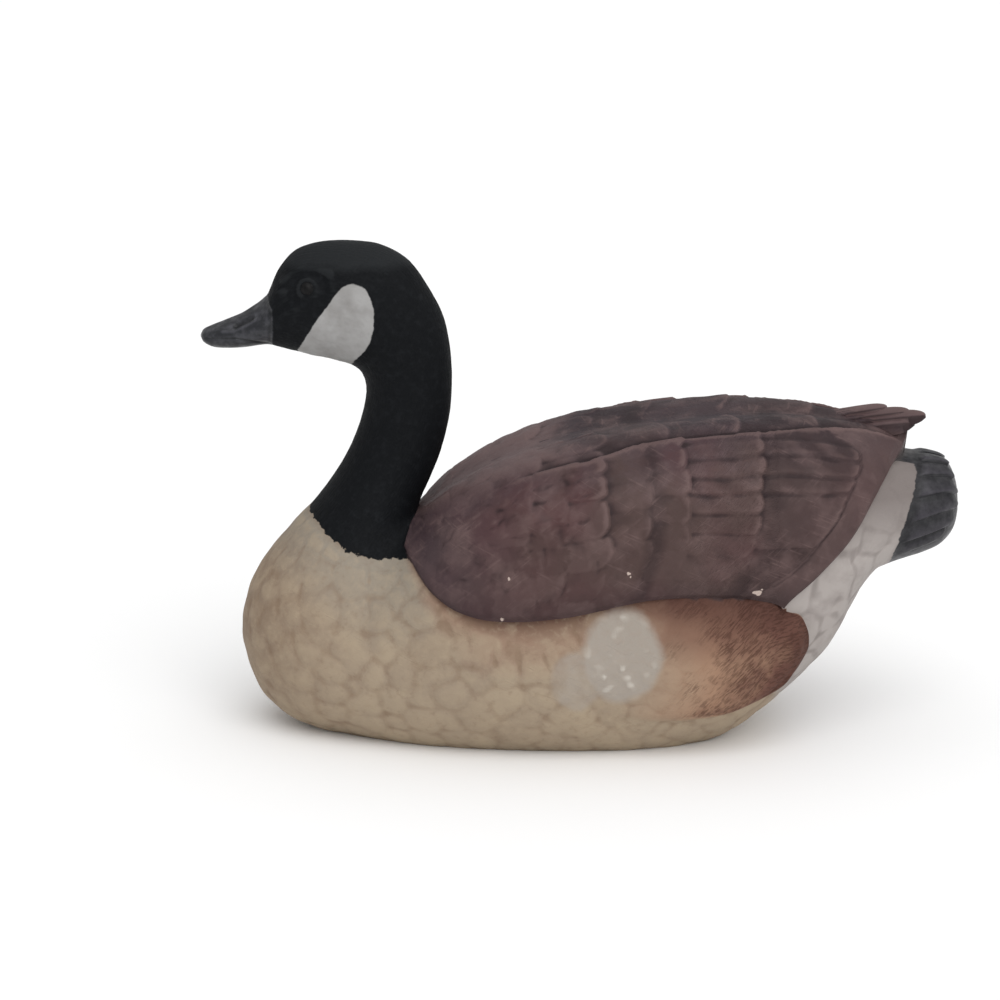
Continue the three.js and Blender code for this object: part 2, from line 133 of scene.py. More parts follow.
@dataclass
class Loft:
    """Body, neck and head: one loft of upright rings from the tail round the breast to the bill.

    Each ring holds its lowest point x, z, its highest point x, z, half width, the share of its
    height where it is widest, and the fullness of its lower and upper half, where 2 is an ellipse.
    """

    half_length: float
    breast_ring: int = 19
    rings: list[tuple[float, ...]] = field(init=False)

    def __post_init__(self) -> None:
        """Lay out the rings and the curves through them."""
        end = self.half_length
        self.rings = [
            (-end, 94, -end, 100, 5, 0.5, 2, 2),
            (-161.5, 86.5, -162.6, 110.5, 13, 0.5, 2.2, 2.2),
            (-156, 80.8, -158.6, 118, 19.5, 0.5, 2.3, 2.2),
            (-148.5, 77.5, -152, 120.6, 23.5, 0.49, 2.3, 2.2),
            (-141, 75.3, -145, 121.4, 26, 0.48, 2.3, 2.3),
            (-133.5, 73, -137.5, 122.3, 29, 0.47, 2.3, 2.4),
            (-126, 70, -130, 123.5, 33, 0.47, 2.3, 2.6),
            (-118, 59, -122, 125.5, 38.5, 0.47, 2.3, 2.8),
            (-107, 38, -112, 128.2, 45, 0.46, 2.3, 2.9),
            (-93, 22.5, -100, 131, 50.5, 0.45, 2.3, 3),
            (-77, 8.5, -83, 133.4, 56, 0.45, 2.4, 3.1),
            (-58, -3.5, -62, 134, 61, 0.45, 2.4, 3.2),
            (-25, -11, -28, 131.6, 65.5, 0.45, 2.4, 3.2),
            (8, -11.5, 4, 127, 67, 0.45, 2.4, 3.1),
            (40, -10, 32, 118.2, 65, 0.46, 2.4, 2.9),
            (72, -7.5, 54, 107, 59, 0.47, 2.4, 2.6),
            (100, -3.5, 64.5, 99.7, 52, 0.48, 2.3, 2.3),
            (124, 2, 69, 97, 46, 0.48, 2.2, 2.1),
            (139.8, 14.5, 70.6, 96.4, 42, 0.48, 2.1, 2),
            (147.6, 36, 71, 96.3, 38.5, 0.48, 2, 2),
            (147.1, 53, 71, 96.6, 35, 0.5, 2, 2),
            (140.4, 70, 70.9, 97.5, 31.5, 0.5, 2, 2),
            (128.7, 85.5, 70.3, 99.5, 27.5, 0.5, 2, 2),
            (114, 102.5, 68.8, 103.5, 23, 0.5, 2, 2),
            (103.3, 118.3, 65.7, 110.3, 19.4, 0.5, 2, 2),
            (96.8, 132.5, 60.9, 122.7, 17.6, 0.5, 2, 2),
            (93.4, 145.5, 57, 139.5, 17, 0.5, 2, 2),
            (93.4, 152.5, 56.1, 155, 16.9, 0.5, 2, 2),
            (95.6, 157.6, 57, 168.5, 17.2, 0.5, 2, 2.1),
            (100, 160.6, 59.7, 181, 18.2, 0.5, 2, 2.1),
            (105, 162.1, 65.4, 192.5, 19.5, 0.5, 2.1, 2.1),
            (110.5, 163.5, 74.3, 205, 20.4, 0.5, 2.1, 2.2),
            (116, 164.5, 86, 211.8, 20.6, 0.5, 2.2, 2.2),
            (121, 165.9, 99, 213.7, 19.8, 0.5, 2.2, 2.2),
            (126, 167, 112.2, 213.2, 17.9, 0.48, 2.2, 2.1),
            (130.5, 168.2, 122.9, 209.6, 15.6, 0.45, 2.2, 2),
            (134.5, 169.1, 130.1, 201.5, 13.6, 0.42, 2.2, 1.9),
            (138.5, 168.9, 135.4, 190.6, 12.2, 0.4, 2.2, 1.8),
            (145, 168, 144.3, 183.3, 11.2, 0.4, 2.2, 1.8),
            (152.5, 167.7, 153, 179.4, 10.4, 0.4, 2.2, 1.9),
            (158.5, 168.2, 159, 177, 9, 0.42, 2.2, 2),
            (162.5, 170, 162.8, 175.2, 6, 0.45, 2, 2),
            (end, 172.2, end, 173.6, 1.6, 0.5, 2, 2),
        ]
        rings = np.array(self.rings, float)
        step = np.diff(rings, axis=0)
        travel = (np.hypot(step[:, 0], step[:, 1]) + np.hypot(step[:, 2], step[:, 3])) / 2
        self.ring_at = np.concatenate([[0], np.cumsum(travel)])
        self.curves = [smooth_curve(self.ring_at, column) for column in rings.T]

    def skin(self, along: Array, girth: Array) -> Array:
        """Find points on the loft.

        Args:
            along: Distance from the tail along the loft.
            girth: Angle round the ring, 0 at the keel, 90 on the left side and 180 on the back.

        Returns:
            Points, as an array with x, y and z last.
        """
        low_x, low_z, high_x, high_z, half, widest, low_full, high_full = (
            curve(along) for curve in self.curves
        )
        height = -np.cos(np.radians(girth))
        side = np.sin(np.radians(girth))
        power = 2 / np.where(height < 0, low_full, high_full)
        reach = np.where(height < 0, widest, 1 - widest)
        share = widest + reach * np.sign(height) * np.abs(height) ** power
        return np.stack(
            [
                low_x + (high_x - low_x) * share,
                half * np.sign(side) * np.abs(side) ** power,
                low_z + (high_z - low_z) * share,
            ],
            -1,
        )

    def normal(self, along: Array, girth: Array) -> Array:
        """Find the loft's outward directions at the same places as skin().

        Args:
            along: Distance from the tail along the loft.
            girth: Angle round the ring.

        Returns:
            Directions of length 1.
        """
        step = 0.5
        forward = self.skin(along + step, girth) - self.skin(along - step, girth)
        around = self.skin(along, girth + step) - self.skin(along, girth - step)
        out = np.cross(around, forward)
        return out / np.maximum(np.linalg.norm(out, axis=-1, keepdims=True), 1e-9)

    def core(self, along: Array, girth: Array, share: float) -> Array:
        """Find points under the skin, the given share of the way to the middle of their ring."""
        middle = (self.skin(along, 0 * girth) + self.skin(along, 0 * girth + 180)) / 2
        point = self.skin(along, girth)
        return point + (middle - point) * share

    def along_at_x(self, x: Array, girth: Array) -> Array:
        """Find where the surface of the loft has a given x.

        Args:
            x: The x.
            girth: Angle round the ring.

        Returns:
            Distance from the tail along the loft.
        """
        near = np.zeros(np.broadcast(x, girth).shape)
        far = near + self.ring_at[self.breast_ring]
        for _ in range(26):
            middle = (near + far) / 2
            short = self.skin(middle, girth)[..., 0] < x
            near = np.where(short, middle, near)
            far = np.where(short, far, middle)
        return (near + far) / 2


@dataclass
class SkinPatch:
    """A patch of the loft between four edges, each a list of share, x and girth."""

    loft: Loft
    lower: list[tuple[float, float, float]]
    upper: list[tuple[float, float, float]]
    front: list[tuple[float, float, float]]
    rear: list[tuple[float, float, float]]
    hidden_depth: float = 0.15

    def __post_init__(self) -> None:
        """Make a curve of x and one of girth along each edge."""
        self.edges = {}
        for name in ("lower", "upper", "front", "rear"):
            shares, *columns = zip(*getattr(self, name))
            self.edges[name] = [smooth_curve(shares, column) for column in columns]

    def place(self, a: Array, b: Array) -> list[Array]:
        """Find places of the patch on the loft.

        Args:
            a: Share from front to rear.
            b: Share from the lower to the upper edge.

        Returns:
            The x and the girth.
        """
        found = []
        for k in range(2):
            lower, upper, front, rear = (self.edges[n][k] for n in ("lower", "upper", "front", "rear"))
            corners = (1 - a) * ((1 - b) * lower(0.0) + b * upper(0.0))
            corners = corners + a * ((1 - b) * lower(1.0) + b * upper(1.0))
            edges = (1 - b) * lower(a) + b * upper(a) + (1 - a) * front(b) + a * rear(b)
            found.append(edges - corners)
        return found

    def points(self, a: Array, b: Array, height: Array) -> Array:
        """Find points standing the given height off the skin."""
        x, girth = self.place(a, b)
        along = self.loft.along_at_x(x, girth)
        return self.loft.skin(along, girth) + self.loft.normal(along, girth) * height[..., None]

    def under(self, a: Array, b: Array) -> Array:
        """Find points well under the skin, for the hidden face of a plate."""
        x, girth = self.place(a, b)
        return self.loft.core(self.loft.along_at_x(x, girth), girth, self.hidden_depth)


@dataclass
class Carving:
    """What the carving does at each point of a form: its height, and a tone that differs by feather."""

    height: Array
    tone: Array


@dataclass
class Surface:
    """A grid of points on one form of the casting, with the two numbers that each was made from.

    stands is how far the carving stands above what lies close around it, in millimetres, and shade
    the same for a wider neighbourhood, where it is wanted.
    """

    part: Part
    side: int
    first: Array
    second: Array
    points: Array
    stands: Array
    tone: Array
    shade: Array | None = None


def running_mean(values: Array, half: int, axis: int) -> Array:
    """Average a grid along one axis.

    Args:
        values: The grid.
        half: How many points to either side are taken in.
        axis: The axis.

    Returns:
        The mean round each point.
    """
    padding = [(0, 0), (0, 0)]
    padding[axis] = (half + 1, half)
    total = np.cumsum(np.pad(values, padding, mode="edge"), axis)
    width = 2 * half + 1
    count = values.shape[axis]
    far = np.take(total, np.arange(width, width + count), axis)
    return (far - np.take(total, np.arange(count), axis)) / width


def softened(values: Array) -> Array:
    """Average each point of a grid with those next to it, so that carved edges are a little blunt."""
    return running_mean(running_mean(values, 1, 0), 1, 1)


def share_grid(length: float, breadth: float, step: float) -> tuple[Array, Array]:
    """Make a grid over a form.

    Args:
        length: Length of the form.
        breadth: Its breadth.
        step: Spacing of the grid.

    Returns:
        The share of the length and of the breadth at each point.
    """
    rows = np.linspace(0, 1, round(length / step))
    columns = np.linspace(0, 1, round(breadth / step))
    along, across = np.meshgrid(rows, columns, indexing="ij")
    return along, across


def put_on_side(side: int, *grids: Array) -> None:
    """Move points that were made for the left to the side: 1 for the left, -1 for the right."""
    for points in grids:
        points[..., 1] *= side


def from_keel(girth: Array) -> Array:
    """Turn the girth on either side into the angle up from the keel."""
    return np.where(girth > 180, 360 - girth, girth)


def standing(relief: Array, spacing: tuple[float, float], reach: float) -> Array:
    """Find how far each point of a relief stands above the mean of what lies around it.

    Args:
        relief: Heights on a grid.
        spacing: Distance between the grid's rows and between its columns.
        reach: How far around each point the mean is taken.

    Returns:
        Heights above the mean, less than 0 in grooves and at the foot of steps.
    """
    mean = relief
    for axis, step in enumerate(spacing):
        half = max(1, round(reach / step))
        mean = running_mean(running_mean(mean, half, axis), half, axis)
    return relief - mean


@dataclass(frozen=True)
class FeatherRow:
    """One row of feathers.

    tip is where the row ends: shares of the wing's breadth, each with a share of its length. lines
    are the edges between its feathers, as shares of the breadth. step is how far its tips stand
    above the next row, groove how deep its lines are, and even is 1 where they show all along and
    less where they come and go. rounding is how far the corners of its tips are drawn back. Lengths
    are in millimetres.
    """

    tip: tuple[tuple[float, float], ...]
    lines: tuple[float, ...]
    step: float
    groove: float
    even: float
    rounding: float = 4.2


@dataclass
class Plumage:
    """Rows of feathers that step down towards the tail, each feather lapping the one below it."""

    rows: tuple[FeatherRow, ...]
    length: float
    breadth: float
    groove_width: float = 0.52
    crown: float = 0.34
    lap: float = 0.5
    band_height: float = 0.6

    def carve(self, a: Array, b: Array, side: int) -> Carving:
        """Carve the rows.

        Args:
            a: Share of the wing from front to rear.
            b: Share from the lower to the upper edge.
            side: 1 on the left and -1 on the right, which moves the feathers a little.

        Returns:
            The carving at each place.
        """
        across = b + 0.008 * np.sin(13 * a + 9 * b + side) + 0.004 * np.sin(31 * a - 14 * b)
        fading = ripple(a * self.length, b * self.breadth, (a + b) * 70 + 9 * side, 36)
        worn = smooth_step(-0.5, 0.6, fading)
        height = np.zeros(a.shape)
        tone = np.zeros(a.shape)
        begins = np.full(a.shape, -0.05)
        for number, row in enumerate(self.rows):
            first, last = 2 * row.lines[0] - row.lines[1], 2 * row.lines[-1] - row.lines[-2]
            lines = np.array([first, *row.lines, last])
            feather = np.clip(np.searchsorted(lines, across) - 1, 0, len(lines) - 2)
            pitch = lines[feather + 1] - lines[feather]
            beside = np.clip(2 * (across - lines[feather]) / pitch - 1, -1, 1)
            corner = np.where(beside < 0, 1.0, 0.4) * np.abs(beside) ** 2.6
            longer = scatter(feather, np.float64(number), np.float64(side))
            ends = np.interp(b, *zip(*row.tip)) + row.rounding / self.length * (0.3 * longer - corner)
            here = (a > begins) & (a <= ends)
            share = np.clip((a - begins) / np.maximum(ends - begins, 1e-6), 0, 1)
            edge = np.exp(-(((1 - np.abs(beside)) * pitch * self.breadth / 2 / self.groove_width) ** 2))
            shown = row.even + (1 - row.even) * worn
            risen = row.step * (0.06 + 0.94 * share**1.5)
            bowed = self.crown * (1 - beside**2) * (0.4 + 0.6 * share) - self.lap * beside / 2
            made = shown * (risen + row.groove * (bowed - edge))
            height = np.where(here, made, height)
            tone = np.where(here, scatter(feather, np.float64(number + 3), np.float64(side + 7)), tone)
            begins = np.maximum(begins, ends)
        past = np.maximum(a - begins, 0) * self.length
        band = self.band_height * (1 - np.exp(-past / 1.4))
        return Carving(np.where(past > 0, band, height), np.where(past > 0, 1, tone))


@dataclass
class Scales:
    """Small rounded feathers spread over the skin, each overlapping the next towards the tail."""

    loft: Loft
    start: float
    end: float
    pitch: Curve
    relief: Curve
    crease: float = 0.32
    crease_width: float = 0.15
    wander: float = 1.4
    tries: int = 26000
    seed: int = 4

    def __post_init__(self) -> None:
        """Scatter the feathers' middles, none nearer to another than most of the pitch there."""
        draw = np.random.default_rng(self.seed)
        along = draw.uniform(self.start, self.end, self.tries)
        girth = draw.uniform(0, 360, self.tries)
        middles = self.loft.skin(along, girth)
        room = 0.8 * self.pitch(along)
        kept = np.zeros(0, int)
        for i in range(self.tries):
            off = middles[kept] - middles[i]
            if not len(kept) or (off * off).sum(1).min() > room[i] ** 2:
                kept = np.append(kept, i)
        self.along, self.middles = along[kept], middles[kept]
        girth = girth[kept]
        forward = self.loft.skin(self.along + 0.5, girth) - self.loft.skin(self.along - 0.5, girth)
        forward /= np.linalg.norm(forward, axis=1, keepdims=True)
        out = self.loft.normal(self.along, girth)
        self.axes = np.stack([np.cross(out, forward), forward, out], -1)

    def carve(self, along: Array, skin: Array) -> Carving:
        """Carve the scales: at each place the feather that stands highest there is the one seen.

        Args:
            along: Distance along the loft of each point of a grid.
            skin: The points.

        Returns:
            The carving at each point.
        """
        best, next_best = np.zeros(along.shape), np.zeros(along.shape)
        tone = np.zeros(along.shape)
        x, y, z = (skin[..., k] for k in range(3))
        waves = [
            ripple(x, y, z, 13) + 0.5 * ripple(y, z, x, 6),
            ripple(z, x, y, 12),
            ripple(y, x, z, 14),
        ]
        skin = skin + self.wander * np.stack(waves, -1)
        first, last = along.min(axis=1) - 40, along.max(axis=1) + 40
        for number, (at, middle, axes) in enumerate(zip(self.along, self.middles, self.axes)):
            rows = np.flatnonzero((first < at) & (last > at))
            if not len(rows):
                continue
            rows = slice(rows[0], rows[-1] + 1)
            grown, lifted, toned = (scatter(np.float64(number), np.float64(k)) for k in (1, 2, 3))
            reach = float(self.pitch(at)) * (0.88 + 0.14 * grown)
            u, v, w = np.moveaxis((skin[rows] - middle) @ axes, -1, 0) / reach
            far = u**2 + np.where(v < 0, 1, 0.45) * v**2 + w**2
            dome = np.sqrt(np.clip(1 - far, 0, 1))
            stands = dome * (0.85 - 0.3 * v + 0.22 * lifted)
            taken = stands > best[rows]
            next_best[rows] = np.maximum(next_best[rows], np.minimum(stands, best[rows]))
            best[rows] = np.where(taken, stands, best[rows])
            tone[rows] = np.where(taken, toned, tone[rows])
        between = np.exp(-(((best - next_best) / self.crease_width) ** 2))
        broken = smooth_step(-0.7, 0.5, ripple(z, x, y, 19))
        creased = self.crease * between * (0.25 + 0.75 * broken)
        return Carving(self.relief(along) * (best - creased), tone)


# Grooves cut by hand in each wing, as x and z on the body: round the small feathers of the front
WING_CUTS = (
    ((17, 101.5), (12.5, 104), (7, 105), (2.5, 105.5), (-3, 107)),
    ((5.5, 115.5), (2, 115), (-2.5, 116), (-6.5, 118)),
    ((9, 121.5), (7.5, 119.5), (3.5, 120), (0, 122)),
    ((11, 121.5), (5, 123.5), (-0.5, 125)),
    ((22, 116.5), (17, 117), (12, 120)),
    ((22, 112), (17, 112.5), (13, 115)),
    ((48.5, 93), (45.5, 95), (44, 96.5)),
    ((33.5, 97.5), (28, 99), (22, 100.5), (17.5, 98.5)),
    ((17, 97), (16.5, 92.5), (17, 87.5)),
    ((9.5, 90), (7.5, 85.5), (8.5, 78), (10, 76)),
    ((-5, 91), (-5.5, 87.5), (-5, 84)),
    ((20, 79), (20, 73), (20, 68.5)),
    ((30.5, 87), (27, 82.5), (26, 78.5), (27.5, 78)),
    ((52, 80.5), (48.5, 80.5), (47.5, 81.5)),
    ((38, 107), (32, 109.5), (28, 113)),
    ((42, 100), (36, 103), (33, 106)),
    ((28, 91), (24, 92.5), (21.5, 95)),
    ((60, 92), (56, 95.5), (54, 99.5)),
)
# The line inside the outline of the last feathers
WING_OUTLINE = (((-108, 108), (-107, 105), (-101, 96.5), (-93.5, 87), (-86, 81), (-77, 76)),)
# Longer grooves in the mantle of the right wing
MANTLE_CUTS = (
    ((-70.4, 134.6), (-82.0, 130.0)),
    ((-82.0, 128.1), (-94.2, 130.0), (-98.7, 132.7)),
    ((-16.0, 128.0), (-27.0, 131.0)),
    ((-4.0, 122.0), (8.0, 119.0)),
)
# Slanted grooves where the breast runs up to the wing
SIDE_CUTS = (
    ((5.4, 61.0), (3.4, 58.0), (0.4, 53.7)),
    ((48.2, 56.5), (47.6, 50.7)),
    ((27.4, 50.7), (26.9, 41.3)),
    ((38.2, 51.5), (37.0, 43.5)),
    ((58.0, 62.0), (55.5, 56.0)),
    ((17.0, 50.0), (15.0, 43.0)),
)
SIDE_CUT_DEPTH = 0.35
SIDE_CUT_WIDTH = 1.3


def cut_along(points: Array, cuts: tuple, width: float) -> Array:
    """Find how deep cuts are at given points.

    Args:
        points: Points of the skin.
        cuts: The x and z of points along each cut.
        width: Half the width of a cut.

    Returns:
        1 at the middle of a cut, falling off over its width and towards its ends.
    """
    x, y, z = (points[..., k] for k in range(3))
    deepest = np.zeros(x.shape)
    for cut in cuts:
        ends = np.array([cut[0], cut[-1]])
        half = np.hypot(*(ends[1] - ends[0])) / 2
        middle = ends.mean(axis=0)
        fading = np.exp(-(((np.hypot(x - middle[0], z - middle[1])) / (half + 0.5)) ** 4))
        bent = distance_to_line(x + 0.5 * ripple(x, y, z, 7), z + 0.5 * ripple(z, x, y, 6), cut)
        deepest = np.maximum(deepest, fading * np.exp(-((bent / width) ** 2)))
    return deepest


@dataclass
class Wing:
    """A folded wing with its half of the mantle, from the foot of the neck to over the tail."""

    loft: Loft
    length: float = 226.0
    breadth: float = 112.0
    step: float = 0.6
    lip: float = 1.5
    cut_depth: float = 0.36
    cut_width: float = 0.52

    def __post_init__(self) -> None:
        """Lay the wing's edges on the loft, and its feathers on the wing."""
        self.patch = SkinPatch(
            self.loft,
            lower=[
                (0, 76, 140), (0.06, 69, 122), (0.12, 62, 110), (0.18, 52, 101.5), (0.26, 37, 96.5),
                (0.42, 8, 95), (0.58, -27, 96.5), (0.8, -62, 94), (0.92, -76, 91.6), (1, -83, 90.1),
            ],
            upper=[
                (0, 70, 181), (0.18, 50, 181), (0.42, 8, 181), (0.65, -44, 181),
                (0.8, -78, 181), (0.92, -118, 181), (1, -140, 181),
            ],
            front=[(0, 76, 140), (1, 70, 181)],
            rear=[
                (0, -83, 90.1), (0.14, -98, 93), (0.25, -110.5, 98.5), (0.37, -118.5, 107.5),
                (0.53, -126.5, 128), (0.66, -133, 150), (0.8, -138, 168), (1, -140.5, 181),
            ],
        )
        last_tip = (
            (0, 0.845), (0.07, 0.865), (0.17, 0.888), (0.28, 0.9), (0.38, 0.915),
            (0.5, 0.925), (0.58, 0.929), (0.64, 0.92), (0.69, 0.893), (0.74, 0.86),
        )
        front_lines = (0.06, 0.17, 0.28, 0.39, 0.5, 0.6, 0.67)
        between = (0.0, 0.11, 0.23, 0.34, 0.45, 0.55, 0.64, 0.7)
        self.side_rows = Plumage(
            (
                FeatherRow(((0, 0.12),), front_lines, 0.25, 0.12, 0.1, 2.4),
                FeatherRow(((0, 0.195),), between, 0.3, 0.08, 0.1, 2.4),
                FeatherRow(((0, 0.255),), (0.1, 0.21, 0.32, 0.42, 0.5, 0.58, 0.65), 0.3, 0.08, 0.1, 2.6),
                FeatherRow(((0, 0.325), (0.45, 0.315), (0.6, 0.34)), between, 0.4, 0.1, 0.2, 2.8),
                FeatherRow(((0, 0.4),), (0.08, 0.2, 0.32, 0.43, 0.51, 0.575, 0.635), 0.5, 0.2, 0.3, 3.2),
                FeatherRow(((0, 0.474),), (0.07, 0.2, 0.333, 0.48, 0.575, 0.64), 1.2, 0.4, 0.85),
                FeatherRow(((0, 0.547),), (0.05, 0.17, 0.3, 0.43, 0.54, 0.63), 0.9, 0.2, 0.4, 3.0),
                FeatherRow(((0, 0.615),), (0.11, 0.25, 0.37, 0.48, 0.57, 0.65), 1.1, 0.25, 0.6, 3.0),
                FeatherRow(
                    ((0, 0.735), (0.2, 0.75), (0.4, 0.765), (0.75, 0.765)),
                    (0.1, 0.22, 0.328, 0.412, 0.483, 0.541, 0.6), 1.1, 0.5, 0.9, 2.6,
                ),
                FeatherRow(last_tip, (0.1, 0.27, 0.476, 0.534, 0.597), 1.0, 0.5, 0.9, 1.4),
            ),
            self.length,
            self.breadth,
        )
        small, large = (0.62, 0.78, 0.94, 1.1), (0.55, 0.7, 0.86, 1.02)
        whole = (0.61, 1.06)
        self.mantle_rows = Plumage(
            (
                FeatherRow(((0, 0.15),), small, 0.3, 0.2, 0.1, 6.0),
                FeatherRow(((0, 0.25),), large, 0.4, 0.3, 0.2, 7.0),
                FeatherRow(((0, 0.36),), small, 0.5, 0.3, 0.3, 7.0),
                FeatherRow(((0, 0.48),), large, 0.7, 0.3, 0.6, 8.0),
                FeatherRow(((0, 0.585),), whole, 0.6, 0.2, 0.8, 8.0),
                FeatherRow(((0, 0.72),), whole, 1.0, 0.3, 0.9, 10.0),
                FeatherRow(((0, 0.865),), whole, 0.9, 0.3, 0.9, 10.0),
                FeatherRow(((0, 0.92),), whole, 0.6, 0.3, 0.6, 6.0),
            ),
            self.length,
            self.breadth,
            band_height=0.2,
        )
        self.ridge = smooth_curve(
            [0, 0.08, 0.24, 0.385, 0.45, 0.5, 0.54, 0.64, 0.76, 0.83, 0.915, 1],
            [0.56, 0.583, 0.628, 0.65, 0.645, 0.672, 0.689, 0.689, 0.7, 0.728, 0.783, 0.8],
        )
        # How far the wing stands off the body, from its lower edge over its ridge to the back
        self.across = [0, 0.35, 0.7, 0.85, 1]
        heights = {
            0: (0.8, 0.8, 0.8, 0.8, 0.6),
            0.1: (3, 3, 3.6, 2.8, 1),
            0.2: (4, 4.2, 5.2, 4, 1.5),
            0.5: (4, 4.8, 7.2, 5.4, 2.5),
            0.8: (4, 4.8, 8, 7, 4.5),
            0.92: (4, 4.4, 7, 9, 8),
            1: (4, 4, 5, 7.5, 12),
        }
        self.heights = [smooth_curve(list(heights), column) for column in zip(*heights.values())]

    def carve(self, a: Array, b: Array, base: Array, side: int) -> Carving:
        """Carve the feathers of the side, those of the mantle, and the ridge between them.

        Args:
            a: Share of the wing from front to rear.
            b: Share from the lower to the upper edge.
            base: Points of the uncarved wing.
            side: 1 on the left and -1 on the right.

        Returns:
            The carving at each place.
        """
        low = self.side_rows.carve(a, b, side)
        top = self.mantle_rows.carve(a, b, side)
        above = (b - self.ridge(a)) * self.breadth
        over = smooth_step(-1.2, 1.8, above)
        calm = 0.25 + 0.75 * smooth_step(0.18, 0.44, b)
        cuts = cut_along(base, WING_CUTS + WING_OUTLINE, self.cut_width)
        far_cuts = cut_along(base, MANTLE_CUTS, self.cut_width) * (side < 0)
        side_height = low.height * calm - self.cut_depth * cuts
        top_height = top.height * smooth_step(1, 0.93, b) - self.cut_depth * far_cuts
        height = side_height * (1 - over) + top_height * over
        below, beyond = np.exp(np.minimum(above, 0) / 5), np.exp(-np.maximum(above, 0) / 4)
        lip = np.where(above < 0, below, -0.55 * beyond) * smooth_step(0.2, 0.5, a)
        height = height + self.lip * lip * smooth_step(1, 0.93, a)
        x, y, z = (base[..., k] for k in range(3))
        worked = smooth_step(0.56, 0.4, a)
        sloping, across = 0.6 * z - 0.8 * x, 0.6 * x + 0.8 * z
        folds = ripple(0.45 * sloping, 0.45 * sloping, across, 12)
        creased = np.exp(-((folds / 0.13) ** 2)) * smooth_step(-0.3, 0.6, ripple(z, y, x, 24))
        rough = 0.22 * folds - 0.26 * creased + 0.1 * ripple(y, z, x, 5)
        lumps = 0.3 * ripple(x, y, z, 17) + worked * rough
        return Carving(softened(height + lumps), np.where(over > 0.5, top.tone, low.tone))

    def surface(self, side: int, step: float) -> tuple[Surface, Array]:
        """Carve one wing.

        Args:
            side: 1 for the left wing and -1 for the right.
            step: Spacing of the grid.

        Returns:
            The carved surface, and the grid of its hidden face.
        """
        a, b = share_grid(self.length, self.breadth, step)
        off = np.array(
            [
                smooth_curve(self.across, [float(curve(row[0])) for curve in self.heights])(across)
                for row, across in zip(a, b)
            ]
        )
        carving = self.carve(a, b, self.patch.points(a, b, off), side)
        rolled = np.minimum(smooth_step(0, 0.025, b), smooth_step(0, 0.018, 1 - a))
        off = off - 1.1 * (1 - rolled)
        outer = self.patch.points(a, b, off + carving.height * rolled)
        inner = self.patch.under(a, b)
        put_on_side(side, outer, inner)
        stands = standing(carving.height, (step, step), 1.8)
        shade = standing(carving.height, (step, step), 8.0)
        return Surface(Part.WING, side, a, b, outer, stands, carving.tone, shade), inner

    def lower_edge_girth(self, x: Array) -> Array:
        """Find the girth of the wing's lower edge at each x."""
        shares = np.linspace(0, 1, 60)
        edge_x, edge_girth = (curve(shares) for curve in self.patch.edges["lower"])
        return np.interp(x, edge_x[::-1], edge_girth[::-1])


